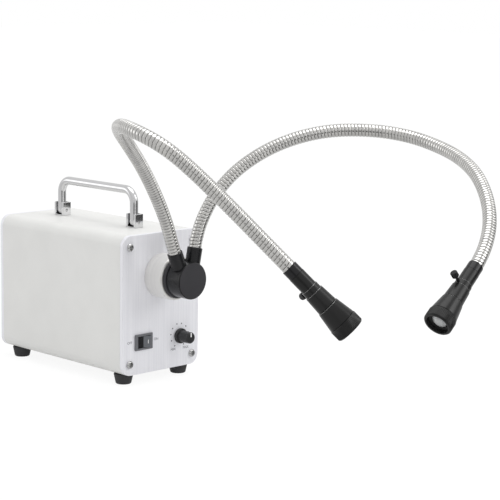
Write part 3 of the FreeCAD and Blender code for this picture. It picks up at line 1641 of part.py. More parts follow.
doc.recompute()
faults = []
for item in doc.Objects:
    if "Invalid" in item.State or "Error" in item.State:
        faults.append("%s is %s" % (item.Name, item.State))
for label, piece in nodes.items():
    if piece.Shape.isNull() or not piece.Shape.isValid():
        faults.append("%s has no valid shape" % label)
if faults:
    raise RuntimeError("; ".join(faults))
for label, piece in nodes.items():
    piece.Shape.exportStep(os.path.join("parts", label + ".step"))
print(len(nodes), "nodes written")
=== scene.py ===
import math

import bmesh
import bpy
from mathutils import Matrix, Vector


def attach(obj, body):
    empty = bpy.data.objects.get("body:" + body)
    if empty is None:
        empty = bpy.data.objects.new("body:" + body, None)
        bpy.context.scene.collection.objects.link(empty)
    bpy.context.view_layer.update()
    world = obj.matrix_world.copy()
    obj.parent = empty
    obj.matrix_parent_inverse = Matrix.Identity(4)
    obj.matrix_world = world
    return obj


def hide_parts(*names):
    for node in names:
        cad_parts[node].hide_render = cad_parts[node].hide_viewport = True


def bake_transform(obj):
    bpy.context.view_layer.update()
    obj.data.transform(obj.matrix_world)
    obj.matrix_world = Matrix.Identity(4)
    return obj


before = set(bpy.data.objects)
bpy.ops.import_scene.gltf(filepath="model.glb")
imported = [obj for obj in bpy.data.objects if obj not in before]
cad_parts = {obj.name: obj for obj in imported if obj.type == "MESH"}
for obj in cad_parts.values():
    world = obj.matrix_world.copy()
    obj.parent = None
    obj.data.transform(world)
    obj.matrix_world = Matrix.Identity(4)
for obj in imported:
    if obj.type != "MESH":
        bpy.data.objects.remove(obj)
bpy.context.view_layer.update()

# Fibre optic illuminator, dressed. Shapes are drawn in millimetres, as the solids
# are, and brought to metres when a piece is finished.

MM = 0.001
FULL_TURN = math.tau
X, Y, Z = Vector((1, 0, 0)), Vector((0, 1, 0)), Vector((0, 0, 1))

# Case
FOOT_HEIGHT = 9.5
CASE_WIDTH, CASE_DEPTH, CASE_HEIGHT = 94.0, 183.0, 130.0
CASE_CORNER, CASE_WALL, PANEL = 10.0, 2.5, 4.0
EDGE = 0.5
CASE_TOP = FOOT_HEIGHT + CASE_HEIGHT
FRONT, REAR = -CASE_DEPTH / 2, CASE_DEPTH / 2
PORT_RISE = 90.0
PORT_Z = FOOT_HEIGHT + PORT_RISE
SCREW_X = CASE_WIDTH / 2 - 8.5
SCREW_Z = (10.6, CASE_HEIGHT - 10.6)
FEET = [(-34.0, -78.0), (34.0, -78.0), (-34.0, 75.0), (34.0, 75.0)]
FOOT_WEB = 4.0

# Openings and what is screwed behind them. A rise is counted from the case's underside.
PORT_HOLE = 14.9
DIAL_X, DIAL_RISE, DIAL_HOLE = 23.4, 29.5, 3.7
SWITCH_X, SWITCH_RISE, SWITCH_HOLE = -22.0, 30.1, (19.1, 12.8)
INLET_RISE, INLET_HOLE, INLET_FLANGE = 26.0, (27.2, 20.0), 2.4
FAN_SCREW, INLET_SCREW = 25, 20
BOARD_SCREW_Y, BOARD_RISE = (-45, 55), 12.1
LARGE_HOLE, SMALL_HOLE = 2.2, 1.7
# Head radius, head height and shank radius.
LARGE_SCREW, SMALL_SCREW = (3.8, 2.6, 2.0), (2.7, 1.9, 1.5)
SCREW_LENGTH = {"plate": 14.0, "foot": 7.0, "fan": 13.0, "board": 8.0, "inlet": 9.0}


def sweep(count):
    """Equal angles round a full turn."""
    return [FULL_TURN * i / count for i in range(count)]


# Materials. Sizes of grain and drift are in millimetres.


def linear(text):
    """An sRGB hex colour as a linear one."""
    parts = [int(text[i : i + 2], 16) / 255 for i in (1, 3, 5)]
    return (*[p / 12.92 if p <= 0.04045 else ((p + 0.055) / 1.055) ** 2.4 for p in parts], 1.0)


def add(tree, kind, links=(), **settings):
    """A node with its settings, and with links into its sockets."""
    node = tree.nodes.new(kind)
    for name, value in settings.items():
        if hasattr(node, name):
            setattr(node, name, value)
        else:
            node.inputs[name.replace("_", " ")].default_value = value
    for socket, source in links:
        tree.links.new(source, node.inputs[socket])
    return node


def surface(
    name, pale, deep, rough, drift=30.0, grain=0.5, rise=0.01, stretch=(1, 1, 1), **sockets
):
    """A surface whose colour and roughness drift softly, with a fine raised grain."""
    material = bpy.data.materials.new(name)
    material.use_nodes = True
    tree = material.node_tree
    shader = tree.nodes["Principled BSDF"]
    for socket, value in sockets.items():
        shader.inputs[socket.replace("_", " ")].default_value = value
    place = add(tree, "ShaderNodeTexCoord").outputs["Object"]
    along = add(tree, "ShaderNodeMapping", [("Vector", place)], Scale=stretch).outputs["Vector"]
    cloud = add(tree, "ShaderNodeTexNoise", [("Vector", along)], Scale=1000 / drift, Detail=3.0)
    share = add(
        tree, "ShaderNodeMapRange", [("Value", cloud.outputs["Fac"])], From_Min=0.3, From_Max=0.7
    )
    colour = add(tree, "ShaderNodeMix", [(0, share.outputs["Result"])], data_type="RGBA")
    colour.inputs[6].default_value = linear(pale)
    colour.inputs[7].default_value = linear(deep)
    tree.links.new(colour.outputs[2], shader.inputs["Base Color"])
    low, high = rough
    gloss = add(
        tree, "ShaderNodeMapRange", [("Value", share.outputs["Result"])], To_Min=low, To_Max=high
    )
    tree.links.new(gloss.outputs["Result"], shader.inputs["Roughness"])
    fine = add(tree, "ShaderNodeTexNoise", [("Vector", along)], Scale=1000 / grain, Detail=2.0)
    bump = add(tree, "ShaderNodeBump", [("Height", fine.outputs["Fac"])], Distance=rise * MM)
    tree.links.new(bump.outputs["Normal"], shader.inputs["Normal"])
    return material


# Powder coat baked on steel: pale and even, with the faint orange peel of the powder.
POWDER_COAT = surface(
    "steel_powder_coated", "#dededc", "#e2e2e0", (0.42, 0.5), grain=0.6, rise=0.012
)
# Aluminium brushed upright and anodised clear: pale streaks that draw the light sideways.
BRUSHED = surface(
    "aluminium_brushed_anodised",
    "#e6e6eb",
    "#eeeef2",
    (0.48, 0.58),
    drift=1.6,
    grain=0.5,
    rise=0.006,
    stretch=(1, 1, 0.02),
    Metallic=0.3,
)
# Turned aluminium: rings left by the tool, which stretch the highlight across them.
TURNED = surface(
    "aluminium_turned",
    "#dad9d7",
    "#e4e3e0",
    (0.3, 0.4),
    drift=4.0,
    grain=0.5,
    rise=0.005,
    stretch=(0.02, 1, 0.02),
    Metallic=0.5,
)
# Turned aluminium, anodised black: deep black with a clear, soft-edged highlight. The
# dyed film is porous, and so it mirrors less than a varnish does.
FILM = {"Specular_IOR_Level": 0.3}
BLACK = surface(
    "aluminium_black_anodised", "#131315", "#19191b", (0.22, 0.3), grain=0.4, rise=0.005, **FILM
)
# The same, blasted before anodising: dull charcoal without a highlight.
BLACK_MATT = surface(
    "aluminium_black_blasted", "#27262a", "#2b2a2e", (0.5, 0.6), grain=0.4, rise=0.015
)
# The same, left satin by fine turning: black that greys where light grazes it.
BLACK_BARREL = surface(
    "aluminium_black_satin", "#121212", "#191919", (0.26, 0.34), grain=0.4, rise=0.008, **FILM
)
# Painted highlight: a thin light line of bright metal along the barrel's step edges.
EDGE_HIGHLIGHT = surface("aluminium_painted_edge_highlight", "#9a9a9a", "#b4b4b4", (0.25, 0.35), Metallic=1.0)
# Polished steel, nickel plated: mirror bright, a little wavy.
PLATED = surface(
    "steel_nickel_plated", "#cfcfd0", "#d9d9da", (0.08, 0.14), grain=3.0, rise=0.01, Metallic=1.0
)
# Pressed steel, zinc plated: bright with a soft, cloudy sheen.
STEEL = surface("steel_zinc_plated", "#c2c2c2", "#cecece", (0.22, 0.32), rise=0.01, Metallic=1.0)
# Machined brass: warm yellow, with a clean highlight.
BRASS = surface("brass_machined", "#b99750", "#c9a865", (0.25, 0.35), Metallic=1.0)
# Moulded rubber: dark grey and dull, with the mould's grain.
RUBBER = surface("rubber_moulded", "#29292b", "#313133", (0.6, 0.75), grain=0.5, rise=0.03)
# Black ABS from a spark-grained mould: its fine pits break the highlight up.
ABS_BLACK = surface("abs_black_grained", "#1c1c1e", "#222224", (0.36, 0.46), grain=0.35, rise=0.012)
# Grey ABS from a satin mould: a shade lighter than the rocker, softly shining.
ABS_GREY = surface("abs_grey_satin", "#66676b", "#6e6f73", (0.3, 0.4), grain=0.35, rise=0.008)
# ABS from a polished mould: smooth, and so it takes the tone of what it faces.
ABS_GLOSS = surface("abs_black_polished", "#1d1e20", "#232427", (0.2, 0.28), grain=0.8, rise=0.003)
# The rocker's black ABS in a bluish grey: painted light on the raised half, which is lighter only
# by how light falls on it.
ABS_PAINTED_LIT = surface("abs_black_painted_lit", "#585b60", "#5f6267", (0.22, 0.3), grain=0.8, rise=0.003)
# Glass-fibre board under solder resist: green with a varnish shine.
CIRCUIT = surface("board_solder_resist", "#1d4a2c", "#235434", (0.3, 0.4))
# Fired ceramic, unglazed: off-white and chalky.
CERAMIC = surface("ceramic_fired", "#e6e5e0", "#eeede8", (0.4, 0.5))
# Ends of a fused and polished fibre bundle: tiny pale grains.
FIBRES = surface(
    "fibre_bundle_polished", "#b9b9b4", "#dadad4", (0.2, 0.3), drift=0.4, grain=0.2, rise=0.02
)
# Screen-printed inks: flat colour a little raised, without shine.
INK_WHITE = surface("ink_white_printed", "#e8e8e8", "#f0f0f0", (0.5, 0.6))
INK_DARK = surface("ink_dark_printed", "#3c3d43", "#46474d", (0.5, 0.6))
INK_PALE = surface("ink_grey_printed", "#5f6067", "#696a71", (0.5, 0.6))
# Polished optical glass: clear, seen only by its reflections.
OPTICAL = surface(
    "glass_polished", "#fafcfc", "#ffffff", (0.0, 0.01), rise=0.0, Transmission_Weight=1.0
)
# Pressed glass, made partly milky: a pale grey disc under a clear, bright face. The milky grey is
# painted light, in place of the light seen inside the lens.
PRESSED = surface(
    "glass_pressed", "#eef1f2", "#ffffff", (0.04, 0.08), rise=0.0, Transmission_Weight=0.65
)


def make_strip_steel():
    """Rolled steel strip: bright crests, with a grey line of painted shade where two turns meet."""
    material = surface(
        "steel_strip_rolled", "#c4c3c1", "#d4d3d0", (0.15, 0.22), drift=8.0, grain=1.5, rise=0.002
    )
    tree = material.node_tree
    shader = tree.nodes["Principled BSDF"]
    shader.inputs["Metallic"].default_value = 1.0
    steel = shader.inputs["Base Color"].links[0].from_socket
    # Painted shade: the deeper a point lies in a groove, the more grey is mixed into the steel's
    # colour.
    depth = add(tree, "ShaderNodeAttribute", attribute_name="groove")
    groove_shade = add(tree, "ShaderNodeMix", [(0, depth.outputs["Fac"]), (6, steel)], data_type="RGBA")
    groove_shade.inputs[7].default_value = linear("#807f7d")
    tree.links.new(groove_shade.outputs[2], shader.inputs["Base Color"])
    return material


STRIP = make_strip_steel()

# Shapes


def aimed(at, axis, roll=X):
    """Puts a shape that stands on Z at a place and along an axis."""
    axis = Vector(axis).normalized()
    across = Vector(roll) - axis * axis.dot(Vector(roll))
    if across.length < 0.01:
        across = Y - axis * axis.dot(Y)
    across.normalize()
    turn = Matrix((across, axis.cross(across), axis)).transposed().to_4x4()
    return Matrix.Translation(Vector(at)) @ turn


def placed(shape, place):
    bmesh.ops.transform(shape, matrix=place, verts=shape.verts)
    return shape


def all_of(shape):
    return shape.verts[:] + shape.edges[:] + shape.faces[:]


def ease_edges(shape, edges, offset):
    """Rounds edges over."""
    bmesh.ops.bevel(
        shape,
        geom=edges,
        offset=offset,
        segments=3,
        profile=0.5,
        affect="EDGES",
        clamp_overlap=True,
        material=-1,
    )


def turned(outline, at, axis, steps=96, ease=0.25, wave=None):
    """A shape turned from (radius, height) points. A ring's outline is closed."""
    shape = bmesh.new()
    points = [shape.verts.new((radius, 0, height)) for radius, height in outline]
    for a, b in zip(points, points[1:]):
        shape.edges.new((a, b))
    ring = outline[0][0] > 0
    if ring:
        shape.edges.new((points[-1], points[0]))
    if ease:
        bmesh.ops.bevel(
            shape,
            geom=points if ring else points[1:-1],
            offset=ease,
            offset_type="OFFSET",
            segments=3,
            profile=0.5,
            affect="VERTICES",
            clamp_overlap=True,
            material=-1,
        )
    bmesh.ops.spin(
        shape,
        geom=shape.verts[:] + shape.edges[:],
        cent=(0, 0, 0),
        axis=(0, 0, 1),
        dvec=(0, 0, 0),
        angle=FULL_TURN,
        steps=steps,
        use_merge=True,
    )
    bmesh.ops.remove_doubles(shape, verts=shape.verts, dist=0.001)
    if wave:
        for point in shape.verts:
            radius = math.hypot(point.co.x, point.co.y)
            if radius > 0.1:
                share = wave(math.atan2(point.co.y, point.co.x) / FULL_TURN, radius, point.co.z)
                point.co.x *= share / radius
                point.co.y *= share / radius
    bmesh.ops.recalc_face_normals(shape, faces=shape.faces)
    return placed(shape, aimed(at, axis))


def brick(size, middle, ease=0.4, turn=Matrix()):
    """A block with rounded edges."""
    shape = bmesh.new()
    bmesh.ops.create_cube(shape, size=1.0)
    bmesh.ops.scale(shape, vec=size, verts=shape.verts)
    if ease:
        ease_edges(shape, shape.edges[:], ease)
    return placed(shape, Matrix.Translation(Vector(middle)) @ turn)


def from_maker(data):
    """The shape of a curve or a text."""
    maker = bpy.data.objects.new("maker", data)
    bpy.context.scene.collection.objects.link(maker)
    bpy.context.view_layer.update()
    ready = maker.evaluated_get(bpy.context.evaluated_depsgraph_get())
    mesh = bpy.data.meshes.new_from_object(ready)
    bpy.data.objects.remove(maker)
    shape = bmesh.new()
    shape.from_mesh(mesh)
    bpy.data.meshes.remove(mesh)
    return shape


def sheet(loops, thickness, ease, middle):
    """A flat sheet with openings and rounded edges, drawn in X and Z."""
    curve = bpy.data.curves.new("outline", "CURVE")
    curve.dimensions = "2D"
    curve.fill_mode = "BOTH"
    curve.extrude = thickness / 2 - ease
    curve.bevel_depth = ease
    curve.bevel_resolution = 2
    curve.offset = -ease
    for loop in loops:
        line = curve.splines.new("POLY")
        line.points.add(len(loop) - 1)
        for point, (x, z) in zip(line.points, loop):
            point.co = (x, z, 0, 1)
        line.use_cyclic_u = True
    shape = from_maker(curve)
    bmesh.ops.remove_doubles(shape, verts=shape.verts, dist=0.001)
    bmesh.ops.recalc_face_normals(shape, faces=shape.faces)
    return placed(shape, Matrix.Translation(Vector(middle)) @ Matrix.Rotation(math.pi / 2, 4, "X"))


def rounded(width, height, radius, middle=(0, 0), steps=12):
    """A rounded rectangle as a loop of points."""
    loop = []
    for quarter, (a, b) in enumerate(((1, 1), (-1, 1), (-1, -1), (1, -1))):
        for i in range(steps + 1):
            angle = math.pi / 2 * (quarter + i / steps)
            x = a * (width / 2 - radius) + radius * math.cos(angle)
            z = b * (height / 2 - radius) + radius * math.sin(angle)
            loop.append((middle[0] + x, middle[1] + z))
    return loop


def hole(radius, x, z, steps=32):
    return [(x + radius * math.cos(a), z + radius * math.sin(a)) for a in sweep(steps)]


def cut(shape, cutters):
    """Takes other shapes out of a shape."""
    body = piece_of(shape, "cut_body")
    spare = [piece_of(cutter, "cutter") for cutter in cutters]
    for tool in spare:
        step = body.modifiers.new("cut", "BOOLEAN")
        step.operation = "DIFFERENCE"
        step.solver = "EXACT"
        step.object = tool
    bpy.context.view_layer.update()
    ready = body.evaluated_get(bpy.context.evaluated_depsgraph_get())
    mesh = bpy.data.meshes.new_from_object(ready)
    result = bmesh.new()
    result.from_mesh(mesh)
    bpy.data.meshes.remove(mesh)
    for item in [body] + spare:
        data = item.data
        bpy.data.objects.remove(item)
        bpy.data.meshes.remove(data)
    return result


def piece_of(shape, name):
    """A bare object from a shape."""
    mesh = bpy.data.meshes.new(name)
    shape.to_mesh(mesh)
    shape.free()
    item = bpy.data.objects.new(name, mesh)
    bpy.context.scene.collection.objects.link(item)
    return item


def piece(name, shapes, body=None, node=None, crease=35.0, even=True):
    """A finished piece from (shape, material) pairs, smooth but for its edges."""
    whole = bmesh.new()
    materials = []
    for shape, material in shapes:
        if material not in materials:
            materials.append(material)
        for face in shape.faces:
            face.material_index = materials.index(material)
        mesh = bpy.data.meshes.new("shape")
        shape.to_mesh(mesh)
        shape.free()
        whole.from_mesh(mesh)
        bpy.data.meshes.remove(mesh)
    placed(whole, Matrix.Scale(MM, 4))
    limit = math.radians(crease)
    for face in whole.faces:
        face.smooth = True
    for edge in whole.edges:
        edge.smooth = edge.calc_face_angle(0.0) < limit
    item = piece_of(whole, name)
    for material in materials:
        item.data.materials.append(material)
    if even:
        item.modifiers.new("flat_faces_stay_flat", "WEIGHTED_NORMAL").keep_sharp = True
    if body:
        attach(item, body)
    if node:
        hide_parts(node)
    return item


# Case


def make_sleeve():
    """The sleeve between the two plates, with cooling slots in its floor."""
    length = CASE_DEPTH - PANEL * 2
    middle = (0, CASE_HEIGHT / 2)
    inside = rounded(
        CASE_WIDTH - CASE_WALL * 2, CASE_HEIGHT - CASE_WALL * 2, CASE_CORNER - CASE_WALL, middle
    )
    outside = rounded(CASE_WIDTH, CASE_HEIGHT, CASE_CORNER, middle)
    shell = sheet([outside, inside], length, 0.25, (0, 0, FOOT_HEIGHT))
    slot_size = (44.0, 3.5, CASE_WALL * 4)
    first, pitch = FRONT + PANEL + 44.0, 9.0
    slots = [brick(slot_size, (0, first + pitch * i, FOOT_HEIGHT), 0) for i in range(6)]
    piece("sleeve", [(cut(shell, slots), POWDER_COAT)], "case", "case_sleeve", 30)


def screw_holes():
    return [hole(LARGE_HOLE, x, z) for x in (-SCREW_X, SCREW_X) for z in SCREW_Z]


def grille():
    """Three broken rings for the fan's air."""
    widest, pitch, gap, half_bar = 28.5, 8.0, 5.0, 1.5
    loops = []
    for i in range(3):
        outer = widest - pitch * i
        inner = outer - gap
        for quarter in range(4):
            middle = math.pi / 2 * quarter
            loop = []
            for radius, way in ((outer, 1), (inner, -1)):
                half = math.pi / 4 - math.asin(half_bar / radius)
                for t in range(17):
                    angle = middle + way * half * (t / 8 - 1)
                    loop.append((radius * math.cos(angle), PORT_RISE + radius * math.sin(angle)))
            loops.append(loop)
    return loops


def make_plates():
    """The front plate with its port, dimmer and switch openings, and the rear plate."""
    outside = rounded(CASE_WIDTH, CASE_HEIGHT, CASE_CORNER, (0, CASE_HEIGHT / 2))
    openings = [hole(PORT_HOLE, 0, PORT_RISE, 64), hole(DIAL_HOLE, DIAL_X, DIAL_RISE)]
    openings.append(rounded(*SWITCH_HOLE, 0.3, (SWITCH_X, SWITCH_RISE), 2))
    loops = [outside] + openings + screw_holes()
    front = sheet(loops, PANEL, EDGE, (0, FRONT + PANEL / 2, FOOT_HEIGHT))
    piece("front_plate", [(front, BRUSHED)], "case", "front_panel", 25)
    openings = grille() + [rounded(*INLET_HOLE, 0.3, (0, INLET_RISE), 2)]
    for x in (-FAN_SCREW, FAN_SCREW):
        openings += [hole(SMALL_HOLE, x, PORT_RISE + z) for z in (-FAN_SCREW, FAN_SCREW)]
    openings += [hole(SMALL_HOLE, x, INLET_RISE) for x in (-INLET_SCREW, INLET_SCREW)]
    loops = [outside] + openings + screw_holes()
    rear = sheet(loops, PANEL, 0.3, (0, REAR - PANEL / 2, FOOT_HEIGHT))
    piece("rear_plate", [(rear, BRUSHED)], "case", "rear_panel", 25)


def pan_head(size, length, at, axis, turn=0.6):
    """A pan head screw with a cross recess."""
    radius, rise, shank = size
    outline = [(0, -length), (shank, -length), (shank, 0), (radius, 0)]
    outline += [(radius, rise * 0.45), (radius * 0.72, rise * 0.88), (0, rise)]
    place = aimed(Vector(at) + Vector(axis) * rise, axis)
    twist = Matrix.Rotation(turn, 4, "Z")
    wide, thin, deep = radius * 1.1, radius * 0.26, rise * 1.3
    bars = ((wide, thin, deep), (thin, wide, deep))
    cross = [placed(brick(bar, (0, 0, 0), 0), place @ twist) for bar in bars]
    return cut(turned(outline, at, axis, 40, 0.3), cross)


def make_screws():
    """The twelve case screws, each stopped at its own angle, and the ten small ones."""
    large = []
    plate, foot = SCREW_LENGTH["plate"], SCREW_LENGTH["foot"]
    for x in (-SCREW_X, SCREW_X):
        for z in SCREW_Z:
            height = FOOT_HEIGHT + z
            large.append(pan_head(LARGE_SCREW, plate, (x, FRONT, height), -Y, 0.4 + x * z))
            large.append(pan_head(LARGE_SCREW, plate, (x, REAR, height), Y, x - z))
    for x, y in FEET:
        large.append(pan_head(LARGE_SCREW, foot, (x, y, FOOT_HEIGHT - FOOT_WEB), -Z, x))
    piece("case_screw_set", [(s, STEEL) for s in large], "case", "case_screws")
    small = []
    for x in (-FAN_SCREW, FAN_SCREW):
        for z in (-FAN_SCREW, FAN_SCREW):
            small.append(pan_head(SMALL_SCREW, SCREW_LENGTH["fan"], (x, REAR, PORT_Z + z), Y))
        for y in BOARD_SCREW_Y:
            spot = (x, y, FOOT_HEIGHT + BOARD_RISE)
            small.append(pan_head(SMALL_SCREW, SCREW_LENGTH["board"], spot, Z))
    for x in (-INLET_SCREW, INLET_SCREW):
        spot = (x, REAR + INLET_FLANGE, FOOT_HEIGHT + INLET_RISE)
        small.append(pan_head(SMALL_SCREW, SCREW_LENGTH["inlet"], spot, Y))
    piece("small_screw_set", [(s, STEEL) for s in small], "case", "small_screws")


def make_feet():
    outline = [(4.5, 0), (6.75, 0), (7.35, 0.8), (9.0, 8.5), (9.0, 9.5), (2.2, 9.5), (2.2, 5.5)]
    outline.append((4.5, 5.5))
    feet = [(turned(outline, (x, y, 0), Z, 72, 0.3), RUBBER) for x, y in FEET]
    piece("feet", feet, "case", "rubber_feet")


# Light port and light guide

NOSE_Y, FLANGE_Y, HEAD_Y, CAP_Y, COLLAR_Y = -80.0, -113.6, -117.2, -131.5, -125.85
HEAD_RADIUS = 17.0


def make_port_and_manifold():
    """The turned nose, the plug's flange, and the black manifold with its cap."""
    nose = [(10.05, 0), (14.8, 0), (14.8, 11.5), (20.75, 11.5), (20.75, 32.3), (19.55, 33.5)]
    nose += [(10.65, 33.5), (10.05, 32.9)]
    shape = turned(nose, (0, NOSE_Y, PORT_Z), -Y, 144, 0.4)
    piece("port_nose", [(shape, TURNED)], "case", "light_port")
    flange = [(5.05, 0), (18.5, 0), (18.5, 2.7), (17.7, 3.5), (8.0, 3.5), (8.0, 6.8), (7.4, 6.8)]
    flange += [(7.4, 8.0), (8.0, 8.0), (8.0, 8.5), (5.05, 8.5)]
    shape = turned(flange, (0, FLANGE_Y, PORT_Z), -Y, 144, 0.2)
    piece("plug_flange", [(shape, BLACK_MATT)], "guide_plug", "guide_flange")
    shell = [(8.05, 0), (16.4, 0), (HEAD_RADIUS, 0.6), (HEAD_RADIUS, 14.3), (14.0, 14.3)]
    shell += [(14.0, 3.0), (8.05, 3.0)]
    shape = turned(shell, (0, HEAD_Y, PORT_Z), -Y, 144, 0.12)
    piece("manifold", [(shape, BLACK)], "guide_manifold", "guide_head")
    cap = [(0, -1.2), (13.95, -1.2), (13.95, 0), (HEAD_RADIUS, 0), (HEAD_RADIUS, 2.3)]
    cap += [(16.3, 3.0), (0, 3.0)]
    shape = turned(cap, (0, CAP_Y, PORT_Z), -Y, 144, 0.12)
    item = piece("manifold_cap", [(shape, BLACK)], "guide_manifold", "guide_cap")
    item.data.materials.append(BLACK_MATT)
    facing_front = -0.98
    for face in item.data.polygons:
        face.material_index = 1 if face.normal.y < facing_front else 0


HEAD_ROLL, COLLAR_LEAN = math.radians(5.15), math.radians(16.55)
COLLAR_CROSS, COLLAR_REACH, HOSE_GRIP = 14.4, 44.2, 8.0
SADDLE = 2.6
ARM_SIGN = {"left": -1, "right": 1}


def collar_line(side):
    """Where the two collar axes cross, and which way this one leans."""
    start = Vector((COLLAR_CROSS * math.sin(HEAD_ROLL), COLLAR_Y, 0))
    start.z = PORT_Z - COLLAR_CROSS * math.cos(HEAD_ROLL)
    angle = ARM_SIGN[side] * COLLAR_LEAN - HEAD_ROLL
    return start, Vector((math.sin(angle), 0, math.cos(angle)))


def make_collar(side):
    """A socket tube that sits on the manifold and holds the end of the hose."""
    base, aim = collar_line(side)
    low = COLLAR_CROSS + HEAD_RADIUS - SADDLE
    top = COLLAR_REACH - low
    outline = [(4.2, 0), (7.0, 0), (7.0, top - 0.5), (6.6, top), (6.05, top)]
    outline += [(6.05, top - HOSE_GRIP), (4.2, top - HOSE_GRIP)]
    shape = turned(outline, base + aim * low, aim, 80, 0.2)
    piece(side + "_collar_tube", [(shape, BLACK)], "guide_manifold", side + "_collar")


# Arms. The corners are those of the solids, from the top of each collar.

ARM_CORNERS = {
    "left": [
        (-12.0, -1.5, 30.5),
        (-32.5, -8.5, 59.0),
        (-58.0, -20.5, 84.5),
        (-88.0, -37.5, 106.0),
        (-120.0, -62.5, 122.0),
        (-148.0, -96.5, 130.0),
        (-159.0, -128.5, 128.0),
        (-153.0, -151.5, 119.0),
        (-140.0, -166.5, 104.0),
        (-121.0, -191.5, 75.0),
        (-103.5, -215.0, 46.5),
        (-92.0, -231.0, 27.5),
    ],
    "right": [
        (6.5, -1.5, 25.0),
        (18.0, -7.0, 49.0),
        (37.0, -20.0, 74.0),
        (64.0, -42.0, 95.0),
        (95.0, -70.0, 107.0),
        (126.0, -101.0, 108.0),
        (145.0, -129.0, 103.5),
        (147.5, -158.5, 97.0),
        (140.0, -190.0, 90.0),
        (126.0, -221.0, 79.0),
        (108.0, -247.0, 62.0),
        (89.5, -265.0, 44.5),
        (69.5, -276.5, 29.0),
        (50.0, -281.5, 14.5),
    ],
}
HEAD_AIM = {"left": (33.0, -37.0, -49.0), "right": (-56.9, -5.9, -42.2)}
THUMB_SIDE = {"left": (0.3, 0.9, -0.5), "right": (-0.6, 0.1, 0.8)}
CROWN_PLACE = {"left": 0.49, "right": 0.43}
BASE_FLEX, CROWN_FLEX, TIP_FLEX, TIP_GRIP = 60.0, 70.0, 50.0, 6.0
HOSE_RADIUS = 5.98
STRIP_PITCH = 3.14
STRIP_SIDES = 44
GROOVE = 0.5
# The painted shade of a groove starts below the crest's own waviness.
SHADE_GAIN, SHADE_START = 1.2, 0.2
# One turn of the strip from groove to groove: share of the pitch, share of the depth.
STRIP_OUTLINE = [
    (0.0, 1.0),
    (0.05, 0.5),
    (0.11, 0.14),
    (0.2, 0.0),
    (0.36, 0.0),
    (0.54, 0.0),
    (0.7, 0.03),
    (0.8, 0.16),
    (0.88, 0.5),
    (0.94, 1.0),
]


class ArmLine:
    """The middle line of an arm, read from one smooth curve through its corners."""

    def __init__(self, corners):
        curve = bpy.data.curves.new("arm_line", "CURVE")
        curve.dimensions = "3D"
        line = curve.splines.new("NURBS")
        line.points.add(len(corners) - 1)
        for point, corner in zip(line.points, corners):
            point.co = (*corner, 1)
        line.order_u = 3
        line.use_endpoint_u = True
        line.resolution_u = 32
        shape = from_maker(curve)
        self.points = [v.co.copy() for v in shape.verts]
        shape.free()
        self.runs = [0.0]
        for a, b in zip(self.points, self.points[1:]):
            self.runs.append(self.runs[-1] + (b - a).length)
        self.length = self.runs[-1]
        self.across = [Y]
        for i in range(1, len(self.points)):
            along = self.along(i)
            last = self.across[-1]
            self.across.append((last - along * along.dot(last)).normalized())

    def along(self, i):
        last = len(self.points) - 1
        return (self.points[min(i + 1, last)] - self.points[max(i - 1, 0)]).normalized()

    def frame(self, distance):
        """The place, direction and crosswise axis at a distance along the line."""
        low, high = 0, len(self.runs) - 1
        while high - low > 1:
            middle = (low + high) // 2
            if self.runs[middle] <= distance:
                low = middle
            else:
                high = middle
        share = (distance - self.runs[low]) / (self.runs[high] - self.runs[low])
        point = self.points[low].lerp(self.points[high], share)
        along = self.along(low).lerp(self.along(high), share).normalized()
        across = self.across[low].lerp(self.across[high], share)
        across = (across - along * along.dot(across)).normalized()
        return point, along, across


def wound_hose(line, start, end):
    """Strip wound into a hose: a screw of the strip's outline, cut square and bent."""
    first = math.floor(start / STRIP_PITCH) - 1
    turns = math.ceil(end / STRIP_PITCH) + 1 - first
    shape = bmesh.new()
    points = [
        shape.verts.new((HOSE_RADIUS - GROOVE * depth, 0, (first + share) * STRIP_PITCH))
        for share, depth in STRIP_OUTLINE
    ]
    points.append(shape.verts.new((HOSE_RADIUS - GROOVE, 0, (first + 1) * STRIP_PITCH)))
    for a, b in zip(points, points[1:]):
        shape.edges.new((a, b))
    bmesh.ops.spin(
        shape,
        geom=shape.verts[:] + shape.edges[:],
        cent=(0, 0, 0),
        axis=(0, 0, 1),
        dvec=(0, 0, STRIP_PITCH / STRIP_SIDES),
        angle=FULL_TURN,
        steps=STRIP_SIDES,
        use_merge=False,
    )
    one_turn = all_of(shape)
    for i in range(1, turns):
        copy = bmesh.ops.duplicate(shape, geom=one_turn)["geom"]
        points = [item for item in copy if isinstance(item, bmesh.types.BMVert)]
        bmesh.ops.translate(shape, vec=(0, 0, STRIP_PITCH * i), verts=points)
    bmesh.ops.remove_doubles(shape, verts=shape.verts, dist=0.01)
    for height, way in ((start, -1), (end, 1)):
        result = bmesh.ops.bisect_plane(
            shape,
            geom=all_of(shape),
            dist=0.0001,
            plane_co=(0, 0, height),
            plane_no=(0, 0, way),
            clear_outer=True,
        )
        rim = [item for item in result["geom_cut"] if isinstance(item, bmesh.types.BMEdge)]
        bmesh.ops.holes_fill(shape, edges=rim, sides=0)
    # How much painted shade each point gets, from how deep it lies in a groove.
    groove = shape.verts.layers.float.new("groove")
    stations = {}
    for point in shape.verts:
        x, y, distance = point.co
        depth = (HOSE_RADIUS - math.hypot(x, y)) / GROOVE
        point[groove] = min(1.0, max(0.0, depth * SHADE_GAIN - SHADE_START))
        key = round(distance, 3)
        if key not in stations:
            stations[key] = line.frame(distance)
        middle, along, across = stations[key]
        point.co = middle + across * x + along.cross(across) * y
    bmesh.ops.recalc_face_normals(shape, faces=shape.faces)
    return shape


